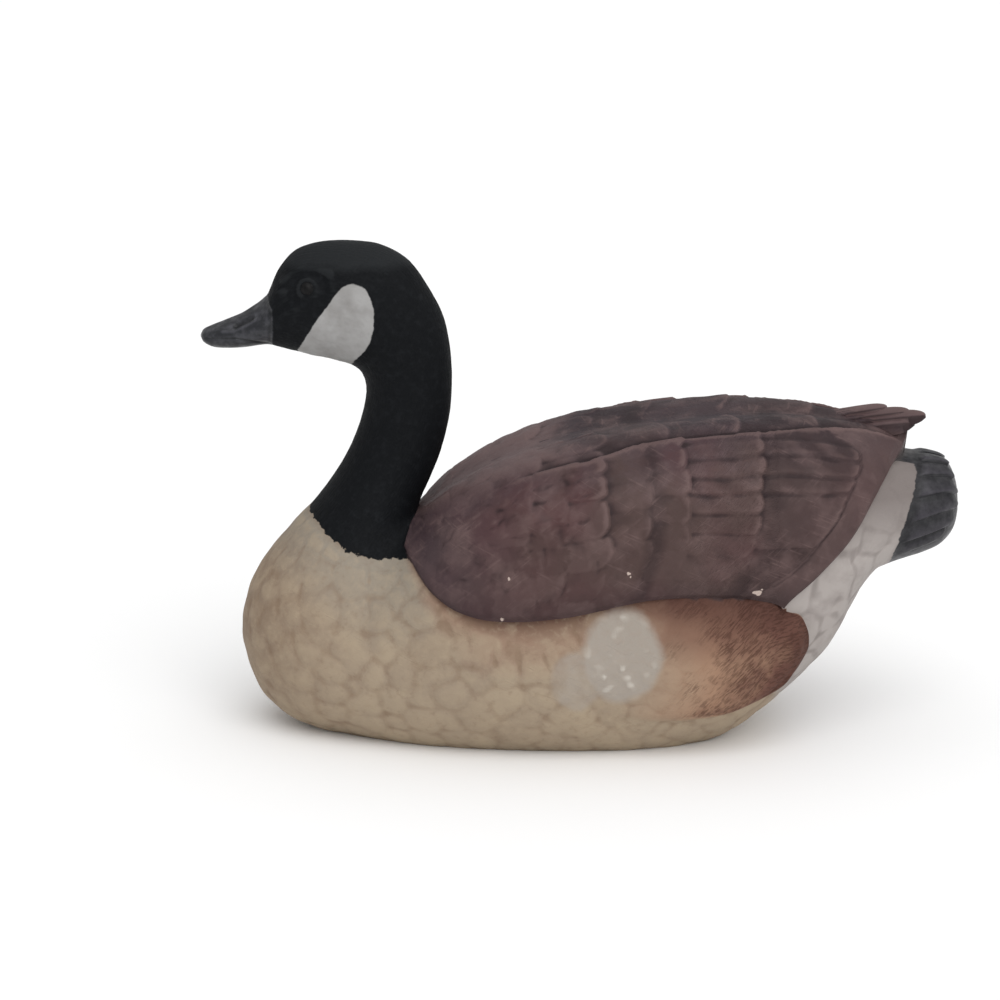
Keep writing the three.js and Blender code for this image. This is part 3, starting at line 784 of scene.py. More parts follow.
@dataclass
class FlankPad:
    """Flank feathers below the wing, which grow out of the side and end in a rounded lobe."""

    loft: Loft
    thickness: float = 5.0
    sunk: float = 2.0
    length: float = 105.0
    breadth: float = 76.0
    step: float = 0.7

    def __post_init__(self) -> None:
        """Lay the pad's edges on the loft."""
        self.patch = SkinPatch(
            self.loft,
            lower=[(0, 20, 60), (0.5, -28, 53), (1, -67, 48)],
            upper=[(0, 20, 99), (0.5, -35, 101), (1, -75, 95)],
            front=[(0, 20, 60), (1, 20, 99)],
            rear=[
                (0, -67, 48), (0.25, -84.5, 53.5), (0.5, -92.8, 64), (0.68, -93.8, 72.5),
                (0.8, -92.3, 80.5), (0.88, -89.6, 86), (0.94, -84.4, 89.4), (1, -75, 95),
            ],
        )

    def share_on_trunk(self, x: Array, girth: Array) -> Array:
        """Find how far back along the pad each point of the trunk just above it lies.

        Args:
            x: The x of the points.
            girth: Angle round their ring.

        Returns:
            1 at the rear of the pad, and 0 at its front and away from it.
        """
        up = from_keel(girth)
        beside = smooth_step(72, 80, up) * smooth_step(125, 115, up)
        return np.interp(x, (-90, 20), (1, 0)) * beside * smooth_step(-84, -80, x)

    def tufts(self, a: Array, b: Array, side: int) -> Carving:
        """Carve the tufts at the rear: a few soft columns of barbs that fan out to the lobe.

        Args:
            a: Share of the pad from front to rear.
            b: Share from the lower to the upper edge.
            side: 1 on the left and -1 on the right.

        Returns:
            The carving at each place.
        """
        column = a * 6.5 + 0.7 * np.sin(5 * b + side) + 0.2 * np.sin(13 * b)
        number = np.floor(column)
        beside = 2 * (column - number) - 1
        edge = np.exp(-(((1 - np.abs(beside)) / 0.16) ** 2))
        strength = smooth_step(0.35, 0.75, a)
        height = strength * (0.5 * (1 - beside**2) - 0.25 * edge)
        return Carving(height, scatter(number, np.float64(side)))

    def surface(self, side: int, step: float, scales: Scales) -> tuple[Surface, Array]:
        """Carve one pad, with the same scales as the body that it grows out of.

        Args:
            side: 1 for the left pad and -1 for the right.
            step: Spacing of the grid.
            scales: The body's scales.

        Returns:
            The carved surface, and the grid of its hidden face.
        """
        a, b = share_grid(self.length, self.breadth, step)
        proud = smooth_step(0, 0.8, a) * smooth_step(0, 0.35, b) * smooth_step(1.0, 0.88, b) ** 0.5
        height = (self.thickness + self.sunk) * proud - self.sunk
        rolled = np.minimum(smooth_step(0, 0.05, 1 - a), smooth_step(-0.02, 0.08, b))
        height = height - 1.6 * (1 - rolled)
        x, girth = self.patch.place(a, b)
        along = self.loft.along_at_x(x, girth)
        skin = self.loft.skin(along, girth)
        tufted = smooth_step(0.4, 0.7, a)
        scaled, tufts = scales.carve(along, skin * (1, side, 1)), self.tufts(a, b, side)
        cuts = SIDE_CUT_DEPTH * cut_along(skin, SIDE_CUTS, SIDE_CUT_WIDTH)
        relief = scaled.height * (1 - tufted) + tufts.height - cuts
        relief = softened(repaired(skin, relief, side))
        outer = skin + self.loft.normal(along, girth) * (height + relief * rolled)[..., None]
        inner = self.patch.under(a, b)
        put_on_side(side, outer, inner)
        stands = standing(relief, (step, step), 3.0)
        tone = np.where(tufted < 0.5, scaled.tone, tufts.tone)
        return Surface(Part.FLANK, side, a, b, outer, stands, tone), inner


@dataclass
class Tail:
    """Tail feathers side by side round each half of the fan, each with its lower edge proud."""

    loft: Loft
    feathers: int = 6
    rise: float = 1.1
    rounding: float = 0.08
    length: float = 22.0
    breadth: float = 88.0
    step: float = 0.5

    def __post_init__(self) -> None:
        """Lay the fan's edges on the loft."""
        self.patch = SkinPatch(
            self.loft,
            lower=[(0, -134, 49), (1, -153, 56)],
            upper=[(0, -146, 181), (1, -157.5, 181)],
            front=[(0, -134, 49), (0.3, -138, 84), (0.5, -141, 109), (0.68, -143, 136), (1, -146, 181)],
            rear=[
                (0, -153, 56), (0.28, -160.5, 85), (0.47, -162, 111), (0.66, -161, 137),
                (1, -157.5, 181),
            ],
        )

    def carve(self, a: Array, b: Array, side: int) -> Carving:
        """Carve the feathers: each slopes across from its proud lower edge, with a shallow fold.

        Args:
            a: Share of the tail from front to rear.
            b: Share from the lower edge to the back.
            side: 1 on the left and -1 on the right.

        Returns:
            The carving at each place.
        """
        column = b * self.feathers
        number = np.floor(column)
        across = column - number
        out = smooth_step(0, 0.3, a)
        bend = np.sin(2 * math.pi * (across - 0.15) + 0.8 * scatter(number, np.float64(side)))
        edge = np.exp(-((np.minimum(across, 1 - across) / 0.07) ** 2))
        height = self.rise * out * (1 - 0.8 * across) + 0.16 * out * bend - 0.3 * out * edge
        return Carving(softened(height), scatter(number, np.float64(side)))

    def surface(self, side: int, step: float) -> tuple[Surface, Array]:
        """Carve one half of the fan.

        Args:
            side: 1 for the left half and -1 for the right.
            step: Spacing of the grid.

        Returns:
            The carved surface, and the grid of its hidden face.
        """
        a, b = share_grid(self.length, self.breadth, step)
        across = b * self.feathers - np.floor(b * self.feathers)
        drawn_back = self.rounding * np.abs(2 * across - 1) ** 3 * smooth_step(0.3, 1, a)
        carving = self.carve(a, b, side)
        outer = self.patch.points(a - drawn_back, b, carving.height)
        inner = self.patch.under(a - drawn_back, b)
        put_on_side(side, outer, inner)
        stands = standing(carving.height, (step, step), 2.4)
        return Surface(Part.TAIL, side, a, b, outer, stands, carving.tone), inner


@dataclass
class WingTips:
    """The right wing's long feathers, which cross over the rump above the left wing's."""

    # root, tip, width, thickness
    feathers: tuple = (
        ((-98, -14, 126), (-143.5, 5, 135.4), 15, 3.6),
        ((-98, -15, 129), (-148.5, 4, 138.4), 14, 3.2),
        ((-98, -17, 130), (-142, 0, 139.2), 14, 2.8),
        ((-98, -19, 131), (-133, -5, 140), 13, 2.4),
    )
    step: float = 0.7
    # Where on the wing their paint is taken from: shares of its length and breadth, and the girth
    painted_as: tuple[float, float, float] = (0.3, 0.68, 150.0)

    def surfaces(self, step: float) -> list[tuple[Surface, Array]]:
        """Make each long feather, a slab with a rounded tip, crowned across, with a raised shaft.

        Args:
            step: Spacing of the grids.

        Returns:
            The surface of each feather, and the grid of its hidden face.
        """
        made = []
        for number, (root, tip, width, thickness) in enumerate(self.feathers):
            start = np.array(root, float)
            direction = np.array(tip, float) - start
            length = float(np.linalg.norm(direction))
            forward = direction / length
            across = np.cross((0, 0, 1), forward)
            across /= np.linalg.norm(across)
            out = np.cross(forward, across)
            turns = np.linspace(0, math.pi / 2, round(length / step))
            sides = np.linspace(-1, 1, round(width / step))
            turn, side = np.meshgrid(turns, sides, indexing="ij")
            share = np.sin(turn)
            taper = np.sqrt(np.maximum(0.02, 1 - share**12))
            shaft = 0.35 * np.exp(-((side / 0.1) ** 2))
            crown = (thickness * (0.35 + 0.65 * (1 - side**2)) + shaft) * taper
            spine = start + forward * (length * share)[..., None]
            edge = spine + across * (side * taper * width / 2)[..., None]
            outer = edge + out * crown[..., None]
            inner = edge - out * (thickness * (0.25 + 0.75 * taper))[..., None]
            stands = 0.15 - 0.5 * np.abs(side) ** 4 + shaft
            # The tone is raised to paint light on the lit tops of the stack, and differs from feather to
            # feather
            tone = 0.6 + 0 * share + 0.25 * (number - 1.5)
            made.append((Surface(Part.TIP, number, share, side, outer, stands, tone), inner))
        return made


@dataclass
class Face:
    """Eyes, brows, nostrils and the line between the mandibles, by their x and z on the head."""

    eye: tuple[float, float] = (116.5, 195.5)
    eye_radius: float = 3.2
    eye_sink: float = 2.0

    def relief(self, points: Array) -> Array:
        """Carve the head.

        Args:
            points: Points of the skin.

        Returns:
            Heights, less than 0 where it is cut in.
        """
        x, z = points[..., 0], points[..., 2]
        aside = np.abs(points[..., 1])
        from_eye = np.hypot(x - self.eye[0], z - self.eye[1])
        on_side = smooth_step(8, 13, aside)
        upper = smooth_step(-3, 3, z - self.eye[1] + x - self.eye[0])
        lid = (0.05 + 0.4 * upper) * np.exp(-(((from_eye - 4.1) / 1.1) ** 2))
        socket = -0.8 * np.exp(-(((from_eye - 7.2) / 1.9) ** 2)) * smooth_step(190, 196, z + 2)
        brow = 0.9 * bump_along(x, z, ((128, 198), (119, 203.5), (107, 202.5)), 1.9)
        lore = 0.5 * bump_along(x, z, ((133, 193.4), (124, 194.6)), 1.5)
        lore -= 0.45 * bump_along(x, z, ((122, 190.5), (132, 184.5)), 1.8)
        cheek = 0.5 * bump_along(x, z, ((121, 184), (112, 176)), 6)
        nostril = -1.0 * bump_along(x, z, ((141, 181.6), (148.5, 178.2)), 0.95)
        rim = 0.42 * bump_along(x, z, ((139.5, 181.2), (144, 178.0), (149, 175.9), (154, 175.6)), 0.8)
        culmen = 0.35 * np.exp(-((aside / 2.2) ** 2)) * smooth_step(136, 142, x)
        culmen = culmen * smooth_step(171, 176, z)
        gape = -0.5 * bump_along(x, z, ((161, 172.9), (148, 173.4), (134.5, 170.6)), 0.6)
        foot = -0.35 * bump_along(x, z, ((135.4, 191), (133, 184), (133.6, 172)), 0.8)
        sides = on_side * (lid + socket + brow + lore + cheek)
        on_bill = smooth_step(3.5, 6, aside)
        return sides + on_bill * (nostril + rim + gape) + culmen + foot


def bump_along(x: Array, z: Array, line: tuple, width: float) -> Array:
    """Give 1 on a line of x, z points, falling off smoothly over the width to either side."""
    return np.exp(-((distance_to_line(x, z, line) / width) ** 2))


def distance_to_line(x: Array, z: Array, line: tuple) -> Array:
    """Find how far points are from a line.

    Args:
        x: The x of points.
        z: Their z.
        line: The x and z of the line's points.

    Returns:
        The distances.
    """
    nearest = np.full(np.shape(x), 1e9)
    for (x0, z0), (x1, z1) in zip(line, line[1:]):
        run, rise = x1 - x0, z1 - z0
        share = np.clip(((x - x0) * run + (z - z0) * rise) / (run * run + rise * rise), 0, 1)
        nearest = np.minimum(nearest, np.hypot(x - x0 - share * run, z - z0 - share * rise))
    return nearest


def depth_inside(x: Array, z: Array, outline: tuple) -> Array:
    """Find how far inside a closed outline points lie.

    Args:
        x: The x of points.
        z: Their z.
        outline: The x and z of the outline's corners.

    Returns:
        The distances, less than 0 outside.
    """
    closed = (*outline, outline[0])
    inside = np.zeros(np.shape(x), bool)
    for (x0, z0), (x1, z1) in zip(closed, closed[1:]):
        crosses = (z0 > z) != (z1 > z)
        inside ^= crosses & (x < x0 + (z - z0) * (x1 - x0) / ((z1 - z0) or 1e-9))
    return np.where(inside, 1, -1) * distance_to_line(x, z, closed)


# The filled spot on the left flank: x and z of each round it is made of, its half width and height,
# and how deep it counts at most, which leaves the smear at its lower front thin
FILLER_ROUNDS = ((-15.6, 48.6, 16.5, 20.5, 9.0), (3.0, 37.5, 10.0, 12.0, 0.0))
# Small beads that stand up from the filler, painted lighter as glints: x, z and radius
FILLER_BEADS = (
    (-16.0, 43.4, 1.1), (-18.6, 39.6, 1.3), (-19.4, 36.2, 1.2), (-8.6, 40.0, 0.9), (-15.0, 48.0, 0.7),
)


def filler_depth(points: Array) -> Array:
    """Find how far inside the filled spot points lie.

    Args:
        points: Points of the surface.

    Returns:
        The distances, less than 0 outside and on the right side.
    """
    x, z = points[..., 0], points[..., 2]
    deepest = np.full(x.shape, FAR_OUTSIDE)
    for centre_x, centre_z, half_width, half_height, most in FILLER_ROUNDS:
        off = np.hypot((x - centre_x) / half_width, (z - centre_z) / half_height)
        deepest = np.maximum(deepest, np.minimum((1 - off) * min(half_width, half_height), most))
    return np.where(points[..., 1] > 0, deepest, FAR_OUTSIDE)


def repaired(points: Array, relief: Array, side: int) -> Array:
    """Smooth the carving over where the left flank was filled, and leave the filler lumpy.

    Args:
        points: Points of the skin.
        relief: The carving's height there.
        side: 1 on the left and -1 on the right.

    Returns:
        The heights with the filler on them.
    """
    if side < 0:
        return relief
    x, y, z = (points[..., k] for k in range(3))
    inside = smooth_step(-1.0, 3.0, filler_depth(points))
    lumps = 0.7 + 0.3 * ripple(x, y, z, 11) + 0.12 * ripple(z, x, y, 5)
    for bead_x, bead_z, radius in FILLER_BEADS:
        lumps += 0.55 * np.exp(-((np.hypot(x - bead_x, z - bead_z) / radius) ** 2))
    return relief * (1 - 0.85 * inside) + lumps * inside


@dataclass
class PaintPlan:
    """Where each colour of paint lies, as millimetres inside its edge, by the body's own x and z."""

    wing: Wing
    # x, z along the foot of the black neck, which climbs out of the way behind it
    neck_line: tuple = (
        (40, 400), (50, 118), (60, 98), (68, 84), (79.7, 81.8), (91, 81.4), (101.8, 85.2), (108.4, 90),
        (116.7, 96.5), (135, 108),
    )
    # z, x down the front of the black tail
    tail_line: tuple = (
        (60, -131), (82, -133.7), (97.3, -137.9), (105.7, -140.8), (116.5, -143.5), (119.2, -143),
        (120.9, -134), (123, -120),
    )
    # z, x down the back of the bill, which is far ahead of everything below the head
    bill_line: tuple = (
        (150, 200), (160, 133.6), (170.7, 132.9), (178, 132.0), (186.1, 132.3), (191.3, 135), (196, 137),
    )
    cheek: tuple = (
        (97.4, 198.5), (92.5, 196.6), (89.8, 192), (88.6, 186), (88.9, 178.6), (90.6, 172.5),
        (93.2, 168.5), (98, 163.5), (103, 150), (120.5, 150), (121.9, 167.8), (113.4, 181.8),
        (105, 193.4), (101.4, 197.2),
    )

    def head(self, points: Array) -> Array:
        """Find how far inside the black, the cheek patch and the bill each point lies.

        Args:
            points: Points of the surface.

        Returns:
            The three distances, last.
        """
        x, z = points[..., 0], points[..., 2]
        black = z - np.interp(x, *zip(*self.neck_line))
        bill = x - np.interp(z, *zip(*self.bill_line))
        return np.stack([black, depth_inside(x, z, self.cheek), bill], -1)

    def rear(self, points: Array, girth: Array) -> Array:
        """Find how far inside the black tail and the pale rump, and below the wing, each point lies.

        Args:
            points: Points of the surface.
            girth: Angle round their ring.

        Returns:
            The three distances, last.
        """
        x, z = points[..., 0], points[..., 2]
        tail = np.interp(z, *zip(*self.tail_line)) - x
        rump = -85 + 0.07 * z - x
        below = (self.wing.lower_edge_girth(x) - from_keel(girth)) * math.radians(66)
        return np.stack([tail, rump, below + np.maximum(x - 70, 0)], -1)


@dataclass
class Casting:
    """The whole goose as one closed mesh, carved and marked with where its paints lie."""

    half_length: float
    step: float
    # Length round the widest ring, and the height above which the skin is the head's
    round_length: float = 392.0
    head_height: float = 150.0

    def __post_init__(self) -> None:
        """Set out every form of the casting."""
        self.loft = Loft(self.half_length)
        knots = [float(self.loft.ring_at[ring]) for ring in (0, 9, 13, 17, 19, 22, 24)]
        self.scales = Scales(
            self.loft,
            start=float(self.loft.ring_at[3]),
            end=float(self.loft.ring_at[24]),
            pitch=smooth_curve(knots, [14, 14, 13, 12.4, 11.4, 9.2, 8.2]),
            relief=smooth_curve(knots, [0.8, 0.95, 1.0, 1.0, 0.95, 0.8, 0.65]),
        )
        self.wing = Wing(self.loft)
        self.flank = FlankPad(self.loft)
        self.tail = Tail(self.loft)
        self.tips = WingTips()
        self.face = Face()
        self.paint = PaintPlan(self.wing)
        self.surfaces: list[Surface] = []

    def trunk(self) -> Surface:
        """Carve the loft: scales on breast, belly and rump, and the face on the head.

        Returns:
            The carved surface.
        """
        girths = np.linspace(0, 360, round(self.round_length / self.step) + 1)
        alongs = np.linspace(0, self.loft.ring_at[-1], round(self.loft.ring_at[-1] / self.step))
        along, girth = np.meshgrid(alongs, girths, indexing="ij")
        skin = self.loft.skin(along, girth)
        left = girth <= 180
        on_head = skin[..., 2] > self.head_height
        scaled = self.scales.carve(along, skin)
        relief, tone = softened(scaled.height), scaled.tone
        black = self.paint.head(skin)[..., 0]
        tail = self.paint.rear(skin, girth)[..., 0]
        relief = relief * smooth_step(1, -7, black) * smooth_step(2, -8, tail)
        relief = relief - SIDE_CUT_DEPTH * cut_along(skin, SIDE_CUTS, SIDE_CUT_WIDTH)
        relief = np.where(left, repaired(skin, relief, 1), relief)
        face = np.where(on_head, self.face.relief(skin), 0)
        streaks = 0.10 * ripple(4 * along, girth, 9 * girth, 36) * smooth_step(-4, 4, black)
        relief = relief + face + streaks * smooth_step(138, 130, skin[..., 0])
        ends = smooth_step(0, 3, along) * smooth_step(0, 3, self.loft.ring_at[-1] - along)
        points = skin + self.loft.normal(along, girth) * (relief * ends)[..., None]
        stands = np.where(
            on_head,
            standing(relief, (self.step, 0.35 * self.step), 1.6),
            standing(relief, (self.step, self.step), 3.0),
        )
        return Surface(Part.TRUNK, 1, along, girth, points, stands, tone)

    def eye(self, side: int) -> bpy.types.Object:
        """Set one eye, a bead sunk in the side of the head.

        Args:
            side: 1 for the left eye and -1 for the right.

        Returns:
            The bead.
        """
        alongs = np.arange(self.loft.ring_at[30], self.loft.ring_at[37], 0.5)
        along, girth = np.meshgrid(alongs, np.arange(90, 150, 2.0), indexing="ij")
        skin = self.loft.skin(along, girth)
        miss = np.hypot(skin[..., 0] - self.face.eye[0], skin[..., 2] - self.face.eye[1])
        x, y, z = skin[np.unravel_index(miss.argmin(), miss.shape)]
        centre = np.array([x, side * (y - self.face.eye_sink + 0.35), z])
        bpy.ops.object.select_all(action="DESELECT")
        bpy.ops.mesh.primitive_uv_sphere_add(
            segments=40, ring_count=24, radius=self.face.eye_radius * METRES, location=centre * METRES
        )
        bead = bpy.context.object
        bpy.ops.object.transform_apply(location=True, rotation=True, scale=True)
        points = np.array([v.co for v in bead.data.vertices]) / METRES
        zeros = np.zeros((1, len(points)))
        self.surfaces.append(Surface(Part.EYE, side, zeros, zeros, points[None], zeros, zeros))
        return bead

    def forms(self) -> list[bpy.types.Object]:
        """Make a closed mesh of each form, the trunk first.

        Returns:
            The objects.
        """
        trunk = self.trunk()
        self.surfaces.append(trunk)
        made = [closed_mesh("goose_figurine", *tube_faces(trunk.points[:, :-1]))]
        pairs = [self.wing.surface(side, self.wing.step * self.step) for side in (1, -1)]
        pairs += [self.flank.surface(side, self.flank.step * self.step, self.scales) for side in (1, -1)]
        pairs += [self.tail.surface(side, self.tail.step * self.step) for side in (1, -1)]
        pairs += self.tips.surfaces(self.tips.step * self.step)
        for surface, inner in pairs:
            self.surfaces.append(surface)
            name = f"{surface.part.name.lower()}_{surface.side}"
            made.append(closed_mesh(name, *plate_faces(surface.points, inner)))
        made += [self.eye(side) for side in (1, -1)]
        return made

    def build(self) -> bpy.types.Object:
        """Join the forms into one solid with a flat underside, thin it, and mark its paints.

        Returns:
            The goose.
        """
        trunk, *others = self.forms()
        bpy.ops.object.select_all(action="DESELECT")
        bpy.ops.mesh.primitive_cube_add(size=1, location=(0, 0, -0.03), scale=(0.7, 0.4, 0.06))
        floor_cut = bpy.context.object
        bpy.ops.object.transform_apply(location=True, rotation=True, scale=True)
        grown = bpy.data.collections.new("grown_forms")
        for form in others:
            grown.objects.link(form)
        select_only(trunk)
        join = trunk.modifiers.new("join", "BOOLEAN")
        join.operation, join.solver = "UNION", "MANIFOLD"
        join.operand_type, join.collection = "COLLECTION", grown
        cut = trunk.modifiers.new("underside", "BOOLEAN")
        cut.operation, cut.solver, cut.object = "DIFFERENCE", "MANIFOLD", floor_cut
        for modifier in (join.name, cut.name):
            bpy.ops.object.modifier_apply(modifier=modifier)
        LOG.info("joined: %d faces", len(trunk.data.polygons))
        for form in (*others, floor_cut):
            bpy.data.objects.remove(form)
        bpy.data.collections.remove(grown)
        corners = np.zeros(len(trunk.data.polygons), int)
        trunk.data.polygons.foreach_get("loop_total", corners)
        thin = trunk.modifiers.new("thin", "DECIMATE")
        thin.ratio = min(1.0, MOST_TRIANGLES / int((corners - 2).sum()))
        bpy.ops.object.modifier_apply(modifier=thin.name)
        bpy.ops.object.mode_set(mode="EDIT")
        bpy.ops.mesh.select_all(action="SELECT")
        bpy.ops.mesh.dissolve_degenerate(threshold=1e-6)
        bpy.ops.mesh.quads_convert_to_tris()
        bpy.ops.object.mode_set(mode="OBJECT")
        bpy.ops.object.shade_smooth_by_angle(angle=math.radians(65))
        self.fit(trunk)
        self.mark(trunk)
        return trunk

    def fit(self, goose: bpy.types.Object) -> None:
        """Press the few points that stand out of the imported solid's box back into it.

        Args:
            goose: The joined casting.
        """
        low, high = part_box("goose")
        points = np.zeros(len(goose.data.vertices) * 3)
        goose.data.vertices.foreach_get("co", points)
        points = np.clip(points.reshape(-1, 3), np.array(low), np.array(high))
        goose.data.vertices.foreach_set("co", points.ravel())

    def nearest(self, points: Array) -> tuple[Array, Array]:
        """Find which surface each point of the finished mesh came from, and what is known there.

        Args:
            points: Points of the finished mesh.

        Returns:
            The number of the surface, and in columns the two numbers that its point was made from,
            how far the carving stands there, its shade and its tone.
        """
        sizes = [surface.points.shape[0] * surface.points.shape[1] for surface in self.surfaces]
        starts = np.concatenate([[0], np.cumsum(sizes)])
        tree = KDTree(int(starts[-1]))
        for start, surface in zip(starts, self.surfaces):
            for i, point in enumerate(surface.points.reshape(-1, 3).tolist(), int(start)):
                tree.insert(point, i)
        tree.balance()
        found = np.array([tree.find(point)[1] for point in points.tolist()])
        owner = np.searchsorted(starts, found, side="right") - 1
        known = np.zeros((len(points), 5))
        for number, surface in enumerate(self.surfaces):
            mine = owner == number
            if surface.part is Part.EYE or not mine.any():
                continue
            i, j = np.divmod(found[mine] - starts[number], surface.points.shape[1])
            known[mine] = between_points(surface, i, j, points[mine])
        return owner, known

    def mark(self, goose: bpy.types.Object) -> None:
        """Store, at each point, where the paints lie and what the carving does there.

        Args:
            goose: The finished mesh.
        """
        count = len(goose.data.vertices)
        points = np.zeros(count * 3)
        goose.data.vertices.foreach_get("co", points)
        points = points.reshape(-1, 3) / METRES
        owner, known = self.nearest(points)
        first, second, stands, shade, tone = known.T
        girth, flank, part = np.zeros(count), np.zeros(count), np.zeros(count, int)
        wing, back, up = np.zeros(count), np.zeros(count), np.zeros(count)
        for number, surface in enumerate(self.surfaces):
            mine = owner == number
            part[mine] = surface.part
            a, b = first[mine], second[mine]
            if surface.part is Part.TRUNK:
                girth[mine] = b
                flank[mine] = self.flank.share_on_trunk(points[mine, 0], b)
            elif surface.part is Part.WING:
                wing[mine], back[mine], up[mine] = 1, a, b
                girth[mine] = self.wing.patch.place(a, b)[1]
                flank[mine] = self.flank.share_on_trunk(points[mine, 0], 90 + 0 * b)
            elif surface.part is Part.TIP:
                wing[mine] = 1
                back[mine], up[mine], girth[mine] = self.tips.painted_as
            elif surface.part is Part.FLANK:
                girth[mine] = self.flank.patch.place(a, b)[1]
                flank[mine] = a * np.maximum(smooth_step(0, 0.3, b), 0.9 * smooth_step(0.8, 0.95, a))
        below = self.paint.rear(points, girth)
        store(goose.data, "paint_head", self.paint.head(points))
        store(goose.data, "paint_rear", below)
        store(goose.data, "carving", np.stack([stands, tone, flank], -1))
        store(goose.data, "spots", np.stack([filler_depth(points), chip_depth(points), shade], -1))
        store(goose.data, "wing_place", np.stack([averaged(goose.data, wing, 2), back, up], -1))
        self.part_of_point = part


def averaged(mesh: bpy.types.Mesh, values: Array, times: int) -> Array:
    """Average each point's value with its neighbours'.

    Args:
        mesh: The mesh.
        values: A value for each point.
        times: How often they are averaged.

    Returns:
        The averaged values.
    """
    edges = np.zeros(len(mesh.edges) * 2, np.int32)
    mesh.edges.foreach_get("vertices", edges)
    one, other = edges.reshape(-1, 2).T
    count = len(values)
    share = 1 + np.bincount(edges, minlength=count)
    for _ in range(times):
        beside = np.bincount(one, values[other], count) + np.bincount(other, values[one], count)
        values = (values + beside) / share
    return values


def between_points(surface: Surface, i: Array, j: Array, points: Array) -> Array:
    """Find what is known at points that lie near given points of a surface's grid.

    Args:
        surface: The surface.
        i: Row of the grid's nearest point.
        j: Column of the grid's nearest point.
        points: The points.

    Returns:
        The surface's first and second number, how far it stands, its shade and its tone, in columns.
    """
    rows, columns = surface.points.shape[:2]
    up, down = np.minimum(i + 1, rows - 1), np.maximum(i - 1, 0)
    right, left = np.minimum(j + 1, columns - 1), np.maximum(j - 1, 0)
    ahead = (surface.points[up, j] - surface.points[down, j]) / (up - down)[:, None]
    aside = (surface.points[i, right] - surface.points[i, left]) / (right - left)[:, None]
    off = points - surface.points[i, j]
    uu, uv, vv = (ahead * ahead).sum(-1), (ahead * aside).sum(-1), (aside * aside).sum(-1)
    ou, ov = (off * ahead).sum(-1), (off * aside).sum(-1)
    scale = np.maximum(uu * vv - uv * uv, 1e-9)
    s = np.clip((ou * vv - ov * uv) / scale, -1, 1)
    t = np.clip((ov * uu - ou * uv) / scale, -1, 1)
    found = []
    shade = surface.stands if surface.shade is None else surface.shade
    for numbers in (surface.first, surface.second, surface.stands, shade):
        by_row = (numbers[up, j] - numbers[down, j]) / (up - down)
        by_column = (numbers[i, right] - numbers[i, left]) / (right - left)
        found.append(numbers[i, j] + s * by_row + t * by_column)
    found.append(surface.tone[i, j])
    return np.stack(found, -1)


# Small chips in the paint that show the pale resin, by x, z and radius, on the left side
CHIPS = (
    (34.4, 65.4, 0.9), (31.7, 82.5, 0.8), (-18.0, 85.4, 0.9), (-18.4, 84.2, 0.7),
    (-72.6, 75.2, 1.2), (-70.8, 75.4, 0.9), (-74.2, 76.6, 0.5), (61.0, 119.0, 0.7),
)


def chip_depth(points: Array) -> Array:
    """Find how far inside a chip each point lies.

    Args:
        points: Points of the surface.

    Returns:
        The distances, less than 0 outside them all and on the right side.
    """
    deepest = np.full(len(points), FAR_OUTSIDE)
    for x, z, radius in CHIPS:
        off = np.hypot(points[:, 0] - x, points[:, 2] - z)
        deepest = np.maximum(deepest, radius - off)
    return np.where(points[:, 1] > 0, deepest, FAR_OUTSIDE)


def store(mesh: bpy.types.Mesh, name: str, vectors: Array) -> None:
    """Store three numbers at each point of a mesh."""
    attribute = mesh.attributes.new(name, "FLOAT_VECTOR", "POINT")
    attribute.data.foreach_set("vector", np.ascontiguousarray(vectors, np.float32).ravel())


def select_only(thing: bpy.types.Object) -> None:
    """Select one object and make it active."""
    bpy.ops.object.select_all(action="DESELECT")
    thing.select_set(True)
    bpy.context.view_layer.objects.active = thing


def grid_triangles(index: Array) -> Array:
    """Make two triangles in each square of a grid of point numbers."""
    a, b, c, d = index[:-1, :-1], index[:-1, 1:], index[1:, 1:], index[1:, :-1]
    halves = [np.stack(corners, -1).reshape(-1, 3) for corners in ((a, b, c), (a, c, d))]
    return np.concatenate(halves)


def tube_faces(rings: Array) -> tuple[Array, Array]:
    """Close a tube of rings with a fan at both ends.

    Args:
        rings: The rings' points, a ring in each row.

    Returns:
        The points and the triangles.
    """
    rows, columns = rings.shape[:2]
    index = np.arange(rows * columns).reshape(rows, columns)
    sides = grid_triangles(np.concatenate([index, index[:, :1]], 1))
    points = np.concatenate([rings.reshape(-1, 3), rings[[0, -1]].mean(1)])
    fans = []
    for ring, middle, turn in ((index[0], rows * columns, 1), (index[-1], rows * columns + 1, -1)):
        along = ring[::turn]
        fans.append(np.stack([np.full(columns, middle), np.roll(along, -1), along], -1))
    return points, np.concatenate([sides, *fans])


def plate_faces(outer: Array, inner: Array) -> tuple[Array, Array]:
    """Close the space between two grids of points.

    Args:
        outer: The grid that shows.
        inner: The hidden grid, with the same rows and columns.

    Returns:
        The points and the triangles.
    """
    rows, columns = outer.shape[:2]
    top = np.arange(rows * columns).reshape(rows, columns)
    under = top + rows * columns
    faces = [grid_triangles(top), grid_triangles(under)[:, ::-1]]
    for edge, turn in ((0, 1), (-1, -1)):
        for near, far in ((top[edge], under[edge]), (top[:, edge][::-1], under[:, edge][::-1])):
            faces.append(grid_triangles(np.stack([far, near])[:, ::turn]))
    return np.concatenate([outer.reshape(-1, 3), inner.reshape(-1, 3)]), np.concatenate(faces)


